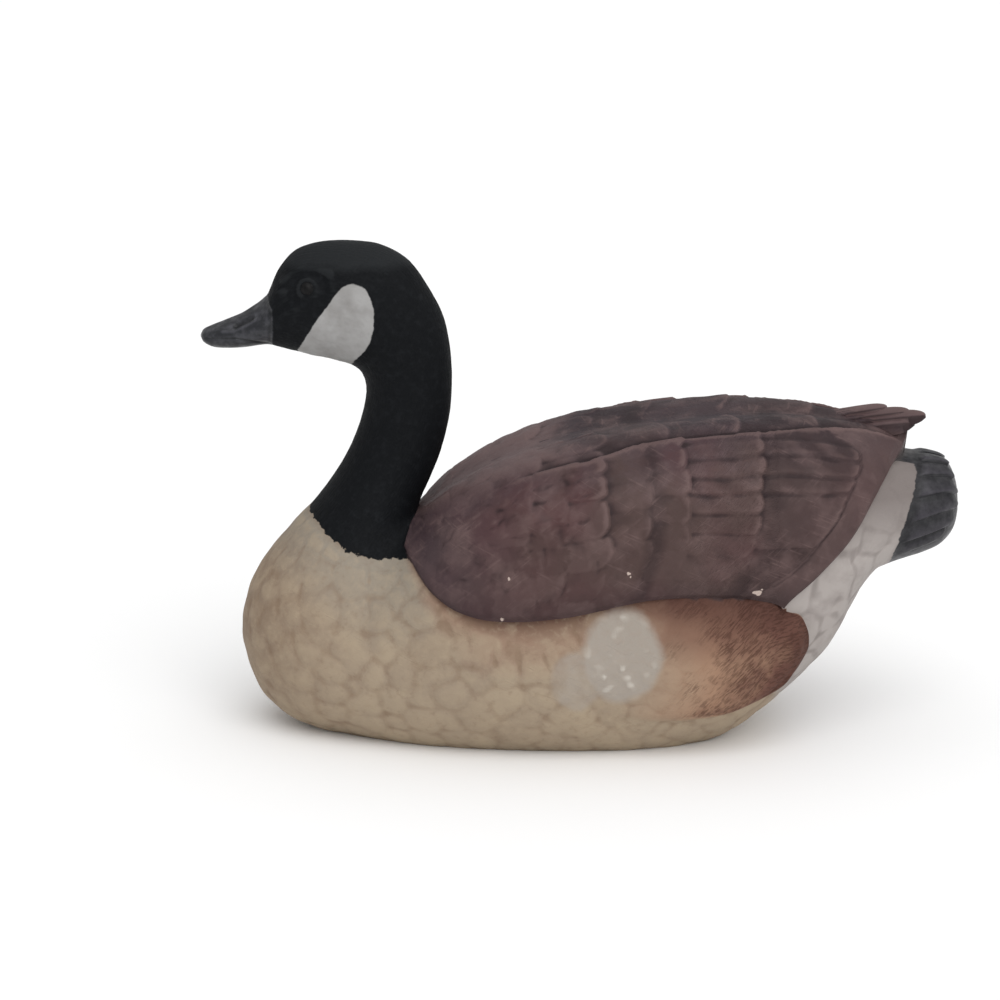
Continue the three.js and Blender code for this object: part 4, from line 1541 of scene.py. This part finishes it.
def closed_mesh(name: str, points: Array, triangles: Array) -> bpy.types.Object:
    """Make an object of a closed mesh, turned so that its faces point out.

    Args:
        name: Name of the object.
        points: Its points in millimetres.
        triangles: Its faces, as numbers of points.

    Returns:
        The object, at the origin, in metres.
    """
    a, b, c = (points[triangles[:, k]] for k in range(3))
    if (a * np.cross(b, c)).sum() < 0:
        triangles = triangles[:, ::-1]
    mesh = bpy.data.meshes.new(name)
    mesh.vertices.add(len(points))
    mesh.vertices.foreach_set("co", (points * METRES).astype(np.float32).ravel())
    mesh.loops.add(3 * len(triangles))
    mesh.loops.foreach_set("vertex_index", np.ascontiguousarray(triangles, np.int32).ravel())
    mesh.polygons.add(len(triangles))
    mesh.polygons.foreach_set("loop_start", np.arange(0, 3 * len(triangles), 3, dtype=np.int32))
    mesh.update(calc_edges=True)
    mesh.validate()
    made = bpy.data.objects.new(name, mesh)
    bpy.context.scene.collection.objects.link(made)
    return made


def linear(colour: str) -> tuple[float, float, float, float]:
    """Turn an sRGB hex colour into Blender's linear colour.

    Args:
        colour: The colour, such as #ffffff.

    Returns:
        Its linear red, green, blue and alpha.
    """
    parts = [int(colour[i : i + 2], 16) / 255 for i in (1, 3, 5)]
    straight = [c / 12.92 if c <= 0.04045 else ((c + 0.055) / 1.055) ** 2.4 for c in parts]
    return (*straight, 1.0)


# What a maths node does
ADD = {"operation": "ADD"}
SUBTRACT = {"operation": "SUBTRACT"}
MULTIPLY = {"operation": "MULTIPLY"}
MULTIPLY_ADD = {"operation": "MULTIPLY_ADD"}
MAXIMUM = {"operation": "MAXIMUM"}
ABSOLUTE = {"operation": "ABSOLUTE"}


def add_node(tree: Tree, kind: str, settings: dict, inputs: dict) -> Node:
    """Add a node.

    Args:
        tree: The node tree.
        kind: The node's type.
        settings: Its own settings by name.
        inputs: Values, nodes or sockets by the name or number of the input they go to. A node
            stands for its first output in use.

    Returns:
        The node.
    """
    node = tree.nodes.new(kind)
    for name, value in settings.items():
        setattr(node, name, value)
    usable = [socket for socket in node.inputs if socket.enabled]
    for key, value in inputs.items():
        target = usable[key] if isinstance(key, int) else next(s for s in usable if s.name == key)
        if isinstance(value, Node):
            value = next(socket for socket in value.outputs if socket.enabled)
        if isinstance(value, bpy.types.NodeSocket):
            tree.links.new(value, target)
        else:
            target.default_value = value
    return node


@dataclass(frozen=True)
class Strokes:
    """Fine brush strokes: how wide they are, how many times as long, and how they lean.

    The lean is their angle up towards the tail, seen from the side, and the seed is where in the
    noise they are taken from.
    """

    width_mm: float
    stretch: float
    lean_deg: float
    seed: float


@dataclass(frozen=True)
class ResinPaint:
    """Thin acrylic, brushed and dry-brushed by hand over cast resin.

    It hides the resin, so the eye sees flat colour that pools dark in the carving and rubs light
    on its crests; the dark in the carving is also painted shade, and several paints below put in
    painted light and shade, sheen and glints. The paint dries matt, with pits that trap most of its
    gloss, and tail, bill and wings have a thin satin varnish. Acrylic has an IOR of about 1.49.
    """

    ior: float = 1.49
    matt_gloss: float = 0.12
    varnish_roughness: float = 0.32
    buff: str = "#938473"
    buff_light: str = "#a69680"
    buff_shade: str = "#76604e"
    buff_grey: str = "#8a8378"
    overspray: str = "#8f6f5d"
    # Painted shadow under the wing's lower edge
    shadow_under_wing: str = "#4c322b"
    black: str = "#0a0c0f"
    black_worn: str = "#1b1d20"
    # Grey of the crown, partly matt paint and partly painted light, also painted highlights on the head
    crown: str = "#1f2123"
    bill: str = "#202125"
    # Worn grey of the bill, also painted highlights on its ridges
    bill_wear_and_highlight: str = "#404046"
    cheek: str = "#9a9998"
    cheek_shade: str = "#858381"
    rump_pale: str = "#a19a96"
    rump_shade: str = "#726a67"
    tail: str = "#161519"
    # Grey on the tail, partly rubbed paint and partly painted sheen
    tail_wear_and_sheen: str = "#544f59"
    flank_light: str = "#9b7a64"
    flank: str = "#64453c"
    flank_dark: str = "#3c251d"
    filler: str = "#999086"
    # Painted glints on the filler's lumps and beads
    filler_glint: str = "#bab3aa"
    resin: str = "#b3a299"
    wing: str = "#4a3736"
    wing_olive: str = "#483936"
    # Purple grey of the wings, also a painted sheen on top of the back
    wing_rose: str = "#523839"
    wing_grey_and_sheen: str = "#433940"
    wing_light: str = "#6c5856"
    # Dark brown of the wings, also painted shade on the mantle, behind the rows' tips and in the grooves
    wing_dark: str = "#271c1e"
    grain_mm: float = 1.0
    brush_mm: float = 3.2
    mottle_mm: float = 13.0
    patch_mm: float = 42.0
    rising_hair: Strokes = Strokes(0.36, 5.0, 48, 3.0)
    level_hair: Strokes = Strokes(0.42, 4.0, 14, 7.0)
    scratch_down: Strokes = Strokes(0.5, 16.0, -24, 1.0)
    scratch_up: Strokes = Strokes(0.5, 14.0, 38, 5.0)
    grain_depth_mm: float = 0.07
    brush_depth_mm: float = 0.14
    hair_depth_mm: float = 0.2
    scratch_depth_mm: float = 0.08
    least_rough: float = 0.6
    most_rough: float = 0.78
    wing_varnish: float = 0.18

    def noise(
        self, tree: Tree, size_mm: float, detail: float, seed: float
    ) -> Node:
        """Add noise in the casting's own coordinates.

        Args:
            tree: The node tree.
            size_mm: Size of its humps.
            detail: How much finer noise it holds.
            seed: Where it is taken from.

        Returns:
            The noise node.
        """
        place = add_node(tree, "ShaderNodeTexCoord", {}, {})
        moved = add_node(
            tree, "ShaderNodeMapping", {}, {"Vector": place.outputs["Object"], "Location": (seed, 0, 0)}
        )
        return add_node(
            tree,
            "ShaderNodeTexNoise",
            {},
            {"Vector": moved, "Scale": 1 / (size_mm * METRES), "Detail": detail, "Roughness": 0.6},
        )

    def strokes(self, tree: Tree, brush: Strokes) -> Node:
        """Add noise drawn out into strokes.

        Args:
            tree: The node tree.
            brush: What the strokes are like.

        Returns:
            The noise node.
        """
        place = add_node(tree, "ShaderNodeTexCoord", {}, {})
        turned = add_node(
            tree,
            "ShaderNodeMapping",
            {"vector_type": "TEXTURE"},
            {
                "Vector": place.outputs["Object"],
                "Location": (brush.seed, 0, 0),
                "Rotation": (0, math.radians(brush.lean_deg), 0),
                "Scale": (brush.stretch, brush.stretch, 1),
            },
        )
        return add_node(
            tree,
            "ShaderNodeTexNoise",
            {},
            {
                "Vector": turned,
                "Scale": 1 / (2 * brush.width_mm * METRES),
                "Detail": 2.0,
                "Roughness": 0.5,
                "Distortion": 0.25,
            },
        )

    def lay(
        self,
        tree: Tree,
        under: object,
        over: object,
        value: object,
        low: float,
        high: float,
        most: float = 1.0,
    ) -> Node:
        """Brush one paint over another.

        Args:
            tree: The node tree.
            under: The paint below, a node or an sRGB hex colour.
            over: The paint on top, a node or an sRGB hex colour.
            value: What decides where it lies.
            low: The value where there is none of it.
            high: The value where there is most of it.
            most: Its share there.

        Returns:
            The mixed colour.
        """
        share = add_node(
            tree,
            "ShaderNodeMapRange",
            {},
            {"Value": value, "From Min": low, "From Max": high, "To Max": most},
        )
        under, over = (linear(paint) if isinstance(paint, str) else paint for paint in (under, over))
        return add_node(tree, "ShaderNodeMix", {"data_type": "RGBA"}, {0: share, 1: under, 2: over})

    def edge(
        self, tree: Tree, depth: object, rough: Node, wander: float, soft: float
    ) -> Node:
        """Add a paint's edge, with all lengths in millimetres.

        Args:
            tree: The node tree.
            depth: How far inside the edge each point lies.
            rough: Noise that the edge follows.
            wander: How far the edge wanders.
            soft: Half the width over which it fades.

        Returns:
            1 inside and 0 outside.
        """
        moved = add_node(tree, "ShaderNodeMath", MULTIPLY_ADD, {0: rough, 1: 2 * wander, 2: -wander})
        summed = add_node(tree, "ShaderNodeMath", ADD, {0: depth, 1: moved})
        return add_node(
            tree,
            "ShaderNodeMapRange",
            {"interpolation_type": "SMOOTHSTEP"},
            {"Value": summed, "From Min": -soft, "From Max": soft},
        )

    def marks(self, tree: Tree) -> Marks:
        """Add all that the casting stores at its points, and the noises that the paints share.

        Args:
            tree: The node tree.

        Returns:
            The sockets and nodes by name.
        """
        stored = {
            "paint_head": ("black", "cheek", "bill"),
            "paint_rear": ("tail", "rump", "below"),
            "carving": ("stands", "tone", "flank"),
            "spots": ("filler", "chip", "shade"),
            "wing_place": ("wing", "back", "up"),
        }
        marks: Marks = {}
        for attribute, names in stored.items():
            read = add_node(tree, "ShaderNodeAttribute", {"attribute_name": attribute}, {})
            split = add_node(tree, "ShaderNodeSeparateXYZ", {}, {"Vector": read.outputs["Vector"]})
            marks |= dict(zip(names, split.outputs))
        place = add_node(tree, "ShaderNodeTexCoord", {}, {})
        split = add_node(tree, "ShaderNodeSeparateXYZ", {}, {"Vector": place.outputs["Object"]})
        marks["ahead"], marks["height"] = split.outputs["X"], split.outputs["Z"]
        marks["grain"] = self.noise(tree, self.grain_mm, 3, 0.0)
        marks["brush"] = self.noise(tree, self.brush_mm, 3, 4.0)
        marks["mottle"] = self.noise(tree, self.mottle_mm, 3, 9.0)
        marks["patch"] = self.noise(tree, self.patch_mm, 2, 2.0)
        return marks

    def breast(self, tree: Tree, at: Marks) -> Node:
        """Paint breast, belly and sides buff, browner by the wing and greyer by the neck, with painted
        shade towards the breast's front, painted light low on the belly and a painted shadow under the
        wing.

        Args:
            tree: The node tree.
            at: What is stored or made at each point, by name.

        Returns:
            The colour.
        """
        colour = self.lay(tree, self.buff, self.buff_light, at["mottle"], 0.42, 0.66, 0.55)
        colour = self.lay(tree, colour, self.buff_light, at["tone"], 0.3, 1.0, 0.4)
        colour = self.lay(tree, colour, self.buff_shade, at["tone"], -0.3, -1.0, 0.16)
        # Painted shade towards the front of the breast, where it curves away from the light
        colour = self.lay(tree, colour, self.buff_shade, at["ahead"], 0.095, 0.14, 0.42)
        # Painted light low on the belly, lifting its shade
        colour = self.lay(tree, colour, self.buff_light, at["height"], 0.045, 0.01, 0.35)
        colour = self.lay(tree, colour, self.buff_grey, at["black"], -36, -4, 0.8)
        near = add_node(tree, "ShaderNodeMath", MULTIPLY_ADD, {0: at["mottle"], 1: 16.0, 2: at["below"]})
        colour = self.lay(tree, colour, self.overspray, near, 24, 6, 0.8)
        # Painted shadow just under the wing's lower edge
        colour = self.lay(tree, colour, self.shadow_under_wing, at["below"], 5, 0.5, 0.75)
        colour = self.lay(tree, colour, self.buff_light, at["brush"], 0.52, 0.72, 0.35)
        colour = self.lay(tree, colour, self.buff_shade, at["brush"], 0.46, 0.28, 0.3)
        colour = self.lay(tree, colour, self.buff_light, at["stands"], 0.03, 0.16, 0.35)
        # Dark wash in the creases between scales, which is also painted shade
        return self.lay(tree, colour, self.buff_shade, at["stands"], -0.03, -0.24, 0.46)

    def flanks(self, tree: Tree, at: Marks, colour: object) -> Node:
        """Paint the flanks from buff through orange buff to red brown, with dark hair strokes and a
        painted shadow under the wing.

        Args:
            tree: The node tree.
            at: What is stored or made at each point, by name.
            colour: The colour below.

        Returns:
            The colour.
        """
        colour = self.lay(tree, colour, self.flank_light, at["flank"], 0.28, 0.6, 0.9)
        browner = add_node(tree, "ShaderNodeMath", MULTIPLY_ADD, {0: at["mottle"], 1: 0.55, 2: at["flank"]})
        colour = self.lay(tree, colour, self.flank, browner, 0.85, 1.15)
        colour = self.lay(tree, colour, self.flank_dark, at["flank"], 0.84, 1.0, 0.55)
        # Browner towards the wing, with a painted shadow just under its edge
        shadow_under_wing = self.lay(tree, colour, self.flank, at["below"], 15, 3, 0.8)
        shadow_under_wing = self.lay(tree, shadow_under_wing, self.shadow_under_wing, at["below"], 6, 0.5, 0.8)
        colour = self.lay(tree, colour, shadow_under_wing, at["flank"], 0.2, 0.45)
        strokes = add_node(tree, "ShaderNodeMath", MULTIPLY, {0: at["strokes"], 1: at["hair"]})
        return self.lay(tree, colour, self.flank_dark, strokes, 0.0, 1.0, 0.52)

    def rump(self, tree: Tree, at: Marks, colour: object) -> Node:
        """Paint the rump pale grey, with faint darker lines round its feathers, partly wash and partly
        painted shade, and painted shade towards its top.

        Args:
            tree: The node tree.
            at: What is stored or made at each point, by name.
            colour: The colour below.

        Returns:
            The colour.
        """
        pale = self.lay(tree, self.rump_pale, self.rump_shade, at["mottle"], 0.45, 0.75, 0.4)
        # Faint dark lines in the creases round the feathers, partly wash and partly painted shade
        pale = self.lay(tree, pale, self.rump_shade, at["stands"], -0.01, -0.16, 0.55)
        # Painted shade towards the top of the rump
        pale = self.lay(tree, pale, self.rump_shade, at["height"], 0.085, 0.108, 0.9)
        not_flank = add_node(
            tree, "ShaderNodeMapRange", {}, {"Value": at["flank"], "From Min": 0.3, "From Max": 0.05}
        )
        there = self.edge(tree, at["rump"], at["mottle"], 4, 5)
        there = add_node(tree, "ShaderNodeMath", MULTIPLY, {0: there, 1: not_flank})
        return self.lay(tree, colour, pale, there, 0, 1)

    def fan(self, tree: Tree, at: Marks, colour: object) -> Node:
        """Paint the tail black, with grey along its shafts that is partly rubbed paint and partly
        painted sheen.

        Args:
            tree: The node tree.
            at: What is stored or made at each point, by name.
            colour: The colour below.

        Returns:
            The colour.
        """
        # Grey along the tail's shafts and crests, partly rubbed paint and partly painted sheen
        rubbed = add_node(tree, "ShaderNodeMath", MULTIPLY_ADD, {0: at["brush"], 1: 0.25, 2: at["stands"]})
        feathers = self.lay(tree, self.tail, self.tail_wear_and_sheen, rubbed, 0.06, 0.48, 0.34)
        return self.lay(tree, colour, feathers, at["on_tail"], 0, 1)

    def head(self, tree: Tree, at: Marks, colour: object) -> Node:
        """Paint neck and head black, with a pale cheek patch and a grey bill, painted light on the
        crown and painted highlights on the head's and the bill's ridges.

        Args:
            tree: The node tree.
            at: What is stored or made at each point, by name.
            colour: The colour below.

        Returns:
            The colour.
        """
        neck = self.lay(tree, self.black, self.black_worn, at["brush"], 0.5, 0.8, 0.6)
        # A lighter crown, partly matt grey paint and partly painted light from above
        top = add_node(tree, "ShaderNodeMath", MULTIPLY_ADD, {0: at["mottle"], 1: 0.006, 2: at["height"]})
        neck = self.lay(tree, neck, self.crown, top, 0.2055, 0.2095, 0.9)
        # Painted highlights on the brow, lores and other raised carving of the head
        neck = self.lay(tree, neck, self.crown, at["stands"], 0.04, 0.28, 0.8)
        on_neck = self.edge(tree, at["black"], at["brush"], 2.8, 0.25)
        colour = self.lay(tree, colour, neck, on_neck, 0, 1)
        white = self.lay(tree, self.cheek, self.cheek_shade, at["mottle"], 0.35, 0.65)
        on_cheek = self.edge(tree, at["cheek"], at["brush"], 0.6, 0.3)
        colour = self.lay(tree, colour, white, on_cheek, 0, 1)
        horn = self.lay(tree, self.bill, self.bill_wear_and_highlight, at["brush"], 0.45, 0.75, 0.6)
        # Painted highlights on the bill's ridges and nostril rim
        horn = self.lay(tree, horn, self.bill_wear_and_highlight, at["stands"], 0.03, 0.2, 0.8)
        # Dark wash in the nostril and gape, which is also painted shade
        horn = self.lay(tree, horn, self.black, at["stands"], -0.03, -0.3, 0.8)
        return self.lay(tree, colour, horn, at["on_bill"], 0, 1)

    def wings(self, tree: Tree, at: Marks, colour: object) -> Node:
        """Dry-brush the wings in several browns, with dark washed grooves that are also painted shade,
        a painted sheen greyer on top of the back, a painted highlight along the ridge and painted shade
        on the mantle, behind the rows' tips and towards the lower edge.

        Args:
            tree: The node tree.
            at: What is stored or made at each point, by name.
            colour: The colour below.

        Returns:
            The colour.
        """
        brown = self.lay(tree, self.wing, self.wing_olive, at["patch"], 0.48, 0.64, 0.8)
        brown = self.lay(tree, brown, self.wing_rose, at["patch"], 0.48, 0.36, 0.7)
        # Painted sheen: greyer towards the top of the back, where the satin catches light from above
        sheen_on_top = add_node(tree, "ShaderNodeMath", MULTIPLY_ADD, {0: at["mottle"], 1: 0.5, 2: at["up"]})
        brown = self.lay(tree, brown, self.wing_grey_and_sheen, sheen_on_top, 0.75, 1.05, 0.85)
        brown = self.lay(tree, brown, self.wing_grey_and_sheen, at["back"], 0.32, 0.05, 0.6)
        # Painted highlight along the ridge of the side rows towards the front, and painted shade on the
        # mantle beyond the ridge further back
        front = self.lay(tree, brown, self.wing_light, at["up"], 0.6, 0.74, 0.66)
        mantle = self.lay(tree, brown, self.wing_dark, at["up"], 0.66, 0.8, 0.5)
        brown = self.lay(tree, front, mantle, at["back"], 0.36, 0.44)
        off_waist = add_node(tree, "ShaderNodeMath", SUBTRACT, {0: at["back"], 1: 0.51})
        off_waist = add_node(tree, "ShaderNodeMath", ABSOLUTE, {0: off_waist})
        waist = self.lay(tree, brown, self.wing_dark, off_waist, 0.09, 0.03, 0.45)
        brown = self.lay(tree, brown, waist, at["up"], 0.64, 0.72)
        brown = self.lay(tree, brown, self.wing_dark, at["back"], 0.2, 0.05, 0.24)
        brown = self.lay(tree, brown, self.wing_dark, at["patch"], 0.5, 0.34, 0.12)
        # A dark band just behind the tips of the row that ends at 0.547 of the length, wash and painted
        # shadow under the tips
        off_row = add_node(tree, "ShaderNodeMath", SUBTRACT, {0: at["back"], 1: 0.552})
        off_row = add_node(tree, "ShaderNodeMath", ABSOLUTE, {0: off_row})
        brown = self.lay(tree, brown, self.wing_dark, off_row, 0.024, 0.006, 0.55)
        brown = self.lay(tree, brown, self.wing_dark, at["back"], 0.75, 0.79, 0.6)
        brown = self.lay(tree, brown, self.wing_light, at["tone"], 0.94, 1.0, 0.14)
        brown = self.lay(tree, brown, self.wing_light, at["tone"], 0.0, 1.0, 0.2)
        brown = self.lay(tree, brown, self.wing_light, at["mottle"], 0.48, 0.72, 0.42)
        brown = self.lay(tree, brown, self.wing_light, at["stands"], 0.04, 0.3, 0.5)
        brown = self.lay(tree, brown, self.wing_light, at["scratches"], 0, 1, 0.35)
        # Painted shade towards the wing's lower edge, where it meets the flank
        brown = self.lay(tree, brown, self.wing_dark, at["up"], 0.12, 0.0, 0.45)
        # Painted shade beyond steps and the ridge, and dark wash in the grooves that is also painted shade
        brown = self.lay(tree, brown, self.wing_dark, at["shade"], -0.08, -0.65, 0.75)
        brown = self.lay(tree, brown, self.wing_dark, at["stands"], -0.08, -0.4, 0.8)
        on_wing = add_node(tree, "ShaderNodeMath", MULTIPLY_ADD, {0: at["brush"], 1: 0.2, 2: at["wing"]})
        return self.lay(tree, colour, brown, on_wing, 0.45, 0.7)

    def repairs(self, tree: Tree, at: Marks, colour: object) -> Node:
        """Add the pale filler, smeared thin at its edge, with painted glints on its lumps and beads, and
        the chips that show the resin.

        Args:
            tree: The node tree.
            at: What is stored or made at each point, by name.
            colour: The colour below.

        Returns:
            The colour.
        """
        # Painted glints: the filler lighter on its lumps and beads
        filler = self.lay(tree, self.filler, self.filler_glint, at["stands"], 0.08, 0.4, 0.9)
        smeared = self.lay(tree, filler, colour, at["brush"], 0.45, 0.85, 0.3)
        colour = self.lay(tree, colour, smeared, at["on_filler"], 0, 1)
        on_chip = self.edge(tree, at["chip"], at["grain"], 0.3, 0.15)
        return self.lay(tree, colour, self.resin, on_chip, 0, 1)

    def casting(self) -> bpy.types.Material:
        """Make the paint of the whole casting.

        Returns:
            The material.
        """
        material = bpy.data.materials.new("acrylic_on_cast_resin")
        material.use_nodes = True
        tree = material.node_tree
        tree.nodes.clear()
        at = self.marks(tree)
        off_wing = add_node(tree, "ShaderNodeMath", SUBTRACT, {0: 1.0, 1: at["wing"]})
        tail = self.edge(tree, at["tail"], at["brush"], 1.2, 0.3)
        at["on_tail"] = add_node(tree, "ShaderNodeMath", MULTIPLY, {0: tail, 1: off_wing})
        at["on_bill"] = self.edge(tree, at["bill"], at["brush"], 0.6, 0.5)
        at["on_filler"] = self.edge(tree, at["filler"], at["mottle"], 2.5, 2.2)

        # Fine hair strokes on the flanks, under half a millimetre wide, that turn level on the lobe
        rising = self.strokes(tree, self.rising_hair)
        level = self.strokes(tree, self.level_hair)
        turned = add_node(
            tree, "ShaderNodeMapRange", {}, {"Value": at["flank"], "From Min": 0.78, "From Max": 0.9}
        )
        hair = add_node(tree, "ShaderNodeMix", {}, {0: turned, 1: rising, 2: level})
        at["strokes"] = add_node(
            tree, "ShaderNodeMapRange", {}, {"Value": hair, "From Min": 0.48, "From Max": 0.6}
        )
        haired = add_node(tree, "ShaderNodeMath", MULTIPLY_ADD, {0: at["mottle"], 1: 0.8, 2: at["flank"]})
        at["hair"] = add_node(
            tree, "ShaderNodeMapRange", {}, {"Value": haired, "From Min": 0.85, "From Max": 1.15}
        )

        # Scratches of the dry brush on the wings, half a millimetre wide, crossing in places
        one_way = self.strokes(tree, self.scratch_down)
        other_way = self.strokes(tree, self.scratch_up)
        crossed = add_node(tree, "ShaderNodeMath", MAXIMUM, {0: one_way, 1: other_way})
        fine = add_node(
            tree, "ShaderNodeMapRange", {}, {"Value": crossed, "From Min": 0.6, "From Max": 0.68}
        )
        here = add_node(
            tree, "ShaderNodeMapRange", {}, {"Value": at["mottle"], "From Min": 0.42, "From Max": 0.6}
        )
        at["scratches"] = add_node(tree, "ShaderNodeMath", MULTIPLY, {0: fine, 1: here})

        colour = self.breast(tree, at)
        for paint in (self.flanks, self.rump, self.fan, self.head, self.wings, self.repairs):
            colour = paint(tree, at, colour)
        roughness = add_node(
            tree,
            "ShaderNodeMapRange",
            {},
            {
                "Value": at["grain"],
                "From Min": 0.3,
                "From Max": 0.7,
                "To Min": self.least_rough,
                "To Max": self.most_rough,
            },
        )
        varnish = add_node(tree, "ShaderNodeMath", MAXIMUM, {0: at["on_tail"], 1: at["on_bill"]})
        varnish = add_node(tree, "ShaderNodeMath", MAXIMUM, {0: varnish, 1: at["on_filler"]})
        varnish = add_node(
            tree,
            "ShaderNodeMath",
            MULTIPLY_ADD,
            {0: at["wing"], 1: self.wing_varnish, 2: varnish},
        )
        varnish = add_node(tree, "ShaderNodeMath", MULTIPLY, {0: varnish, 1: at["brush"]})
        hairs = add_node(tree, "ShaderNodeMath", MULTIPLY, {0: at["strokes"], 1: at["hair"]})
        normal = None
        heights = (
            (at["grain"], self.grain_depth_mm),
            (at["brush"], self.brush_depth_mm),
            (hairs, -self.hair_depth_mm),
            (at["scratches"], self.scratch_depth_mm),
        )
        for height, depth_mm in heights:
            inputs = {"Strength": 1.0, "Distance": depth_mm * METRES, "Height": height}
            if normal is not None:
                inputs["Normal"] = normal
            normal = add_node(tree, "ShaderNodeBump", {}, inputs)
        shader = add_node(
            tree,
            "ShaderNodeBsdfPrincipled",
            {},
            {
                "Base Color": colour,
                "Roughness": roughness,
                "Normal": normal,
                "Coat Weight": varnish,
                "Coat Roughness": self.varnish_roughness,
                "IOR": self.ior,
                "Specular IOR Level": self.matt_gloss,
            },
        )
        add_node(tree, "ShaderNodeOutputMaterial", {}, {"Surface": shader})
        return material


@dataclass(frozen=True)
class EyeEnamel:
    """Black enamel dropped on the eyes, worn to a satin."""

    ior: float = 1.5
    roughness: float = 0.42
    gloss: float = 0.15
    black: str = "#08080a"
    brown_black: str = "#0d0b0b"
    cloud_mm: float = 2.0

    def enamel(self) -> bpy.types.Material:
        """Make the enamel, a little browner in clouds.

        Returns:
            The material.
        """
        material = bpy.data.materials.new("satin_enamel_eyes")
        material.use_nodes = True
        tree = material.node_tree
        tree.nodes.clear()
        place = add_node(tree, "ShaderNodeTexCoord", {}, {})
        cloud = add_node(
            tree,
            "ShaderNodeTexNoise",
            {},
            {"Vector": place.outputs["Object"], "Scale": 1 / (self.cloud_mm * METRES)},
        )
        colour = add_node(
            tree,
            "ShaderNodeMix",
            {"data_type": "RGBA"},
            {0: cloud, 1: linear(self.black), 2: linear(self.brown_black)},
        )
        shader = add_node(
            tree,
            "ShaderNodeBsdfPrincipled",
            {},
            {
                "Base Color": colour,
                "Roughness": self.roughness,
                "IOR": self.ior,
                "Specular IOR Level": self.gloss,
            },
        )
        add_node(tree, "ShaderNodeOutputMaterial", {}, {"Surface": shader})
        return material


def dress(goose: bpy.types.Object, part_of_point: Array) -> None:
    """Give each face the paint of the form it lies on.

    Args:
        goose: The casting.
        part_of_point: The form that each point belongs to.
    """
    goose.data.materials.clear()
    goose.data.materials.append(ResinPaint().casting())
    goose.data.materials.append(EyeEnamel().enamel())
    corners = np.zeros(len(goose.data.loops), np.int32)
    goose.data.loops.foreach_get("vertex_index", corners)
    on_eye = (part_of_point[corners] == Part.EYE).reshape(-1, 3).all(axis=1)
    goose.data.polygons.foreach_set("material_index", on_eye.astype(np.int32))


@dataclass
class Studio:
    """A pale floor, soft light from all round, and a camera where the photograph was taken."""

    distance: float = 1.2
    elevation_deg: float = 14.0
    target: tuple[float, float, float] = (0.0353, 0.0, 0.0996)
    width_at_target: float = 0.4371
    sensor_mm: float = 36.0
    floor_colour: str = "#fafafa"
    floor_roughness: float = 0.9
    room_strength: float = 0.6

    def camera(self) -> None:
        """Place the camera on the goose's left."""
        rise = math.radians(self.elevation_deg)
        back = Vector((0, math.cos(rise), math.sin(rise)))
        bpy.ops.object.camera_add(location=Vector(self.target) + back * self.distance)
        camera = bpy.context.object
        camera.rotation_euler = back.to_track_quat("Z", "Y").to_euler()
        camera.data.sensor_width = self.sensor_mm
        camera.data.lens = self.sensor_mm * self.distance / self.width_at_target
        bpy.context.scene.camera = camera

    def lamp(self, name: str, towards: tuple, strength: float, spread_deg: float) -> None:
        """Hang a far, soft lamp, so that the floor is lit evenly.

        Args:
            name: Its name.
            towards: The direction from the goose.
            strength: Its strength.
            spread_deg: How wide the light is, which softens its shadows.
        """
        bpy.ops.object.light_add(type="SUN", location=Vector(towards).normalized() * 3)
        lamp = bpy.context.object
        lamp.name = name
        lamp.data.energy = strength
        lamp.data.angle = math.radians(spread_deg)
        lamp.rotation_euler = Vector(towards).to_track_quat("Z", "Y").to_euler()

    def floor(self) -> None:
        """Lay a wide pale floor."""
        bpy.ops.mesh.primitive_plane_add(size=40)
        floor = bpy.context.object
        floor.name = "studio_floor"
        material = bpy.data.materials.new("matt_white_board")
        material.use_nodes = True
        board = material.node_tree.nodes["Principled BSDF"]
        board.inputs["Base Color"].default_value = linear(self.floor_colour)
        board.inputs["Roughness"].default_value = self.floor_roughness
        floor.data.materials.append(material)

    def build(self) -> None:
        """Set up the studio."""
        scene = bpy.context.scene
        scene.view_settings.view_transform = "Standard"
        world = bpy.data.worlds.new("soft_room")
        world.use_nodes = True
        room = world.node_tree.nodes["Background"]
        room.inputs["Color"].default_value = linear("#ffffff")
        room.inputs["Strength"].default_value = self.room_strength
        scene.world = world
        self.floor()
        self.lamp("window_lamp", (-0.2, 0.8, 1.1), 1.0, 50)
        self.lamp("ceiling_lamp", (-0.3, 0.1, 1.0), 0.7, 90)
        self.lamp("fill_lamp", (-0.7, 1.0, 0.2), 0.75, 60)
        self.camera()


def main() -> None:
    """Build the goose and its studio."""
    logging.basicConfig(level=logging.INFO, format="%(message)s")
    low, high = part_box("goose")
    casting = Casting((high.x - low.x) / METRES / 2, GRID_STEP)
    goose = casting.build()
    dress(goose, casting.part_of_point)
    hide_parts("goose")
    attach(goose, "root")
    LOG.info("goose_figurine: %d points, %d faces", len(goose.data.vertices), len(goose.data.polygons))
    Studio().build()


if __name__ == "__main__":
    main()
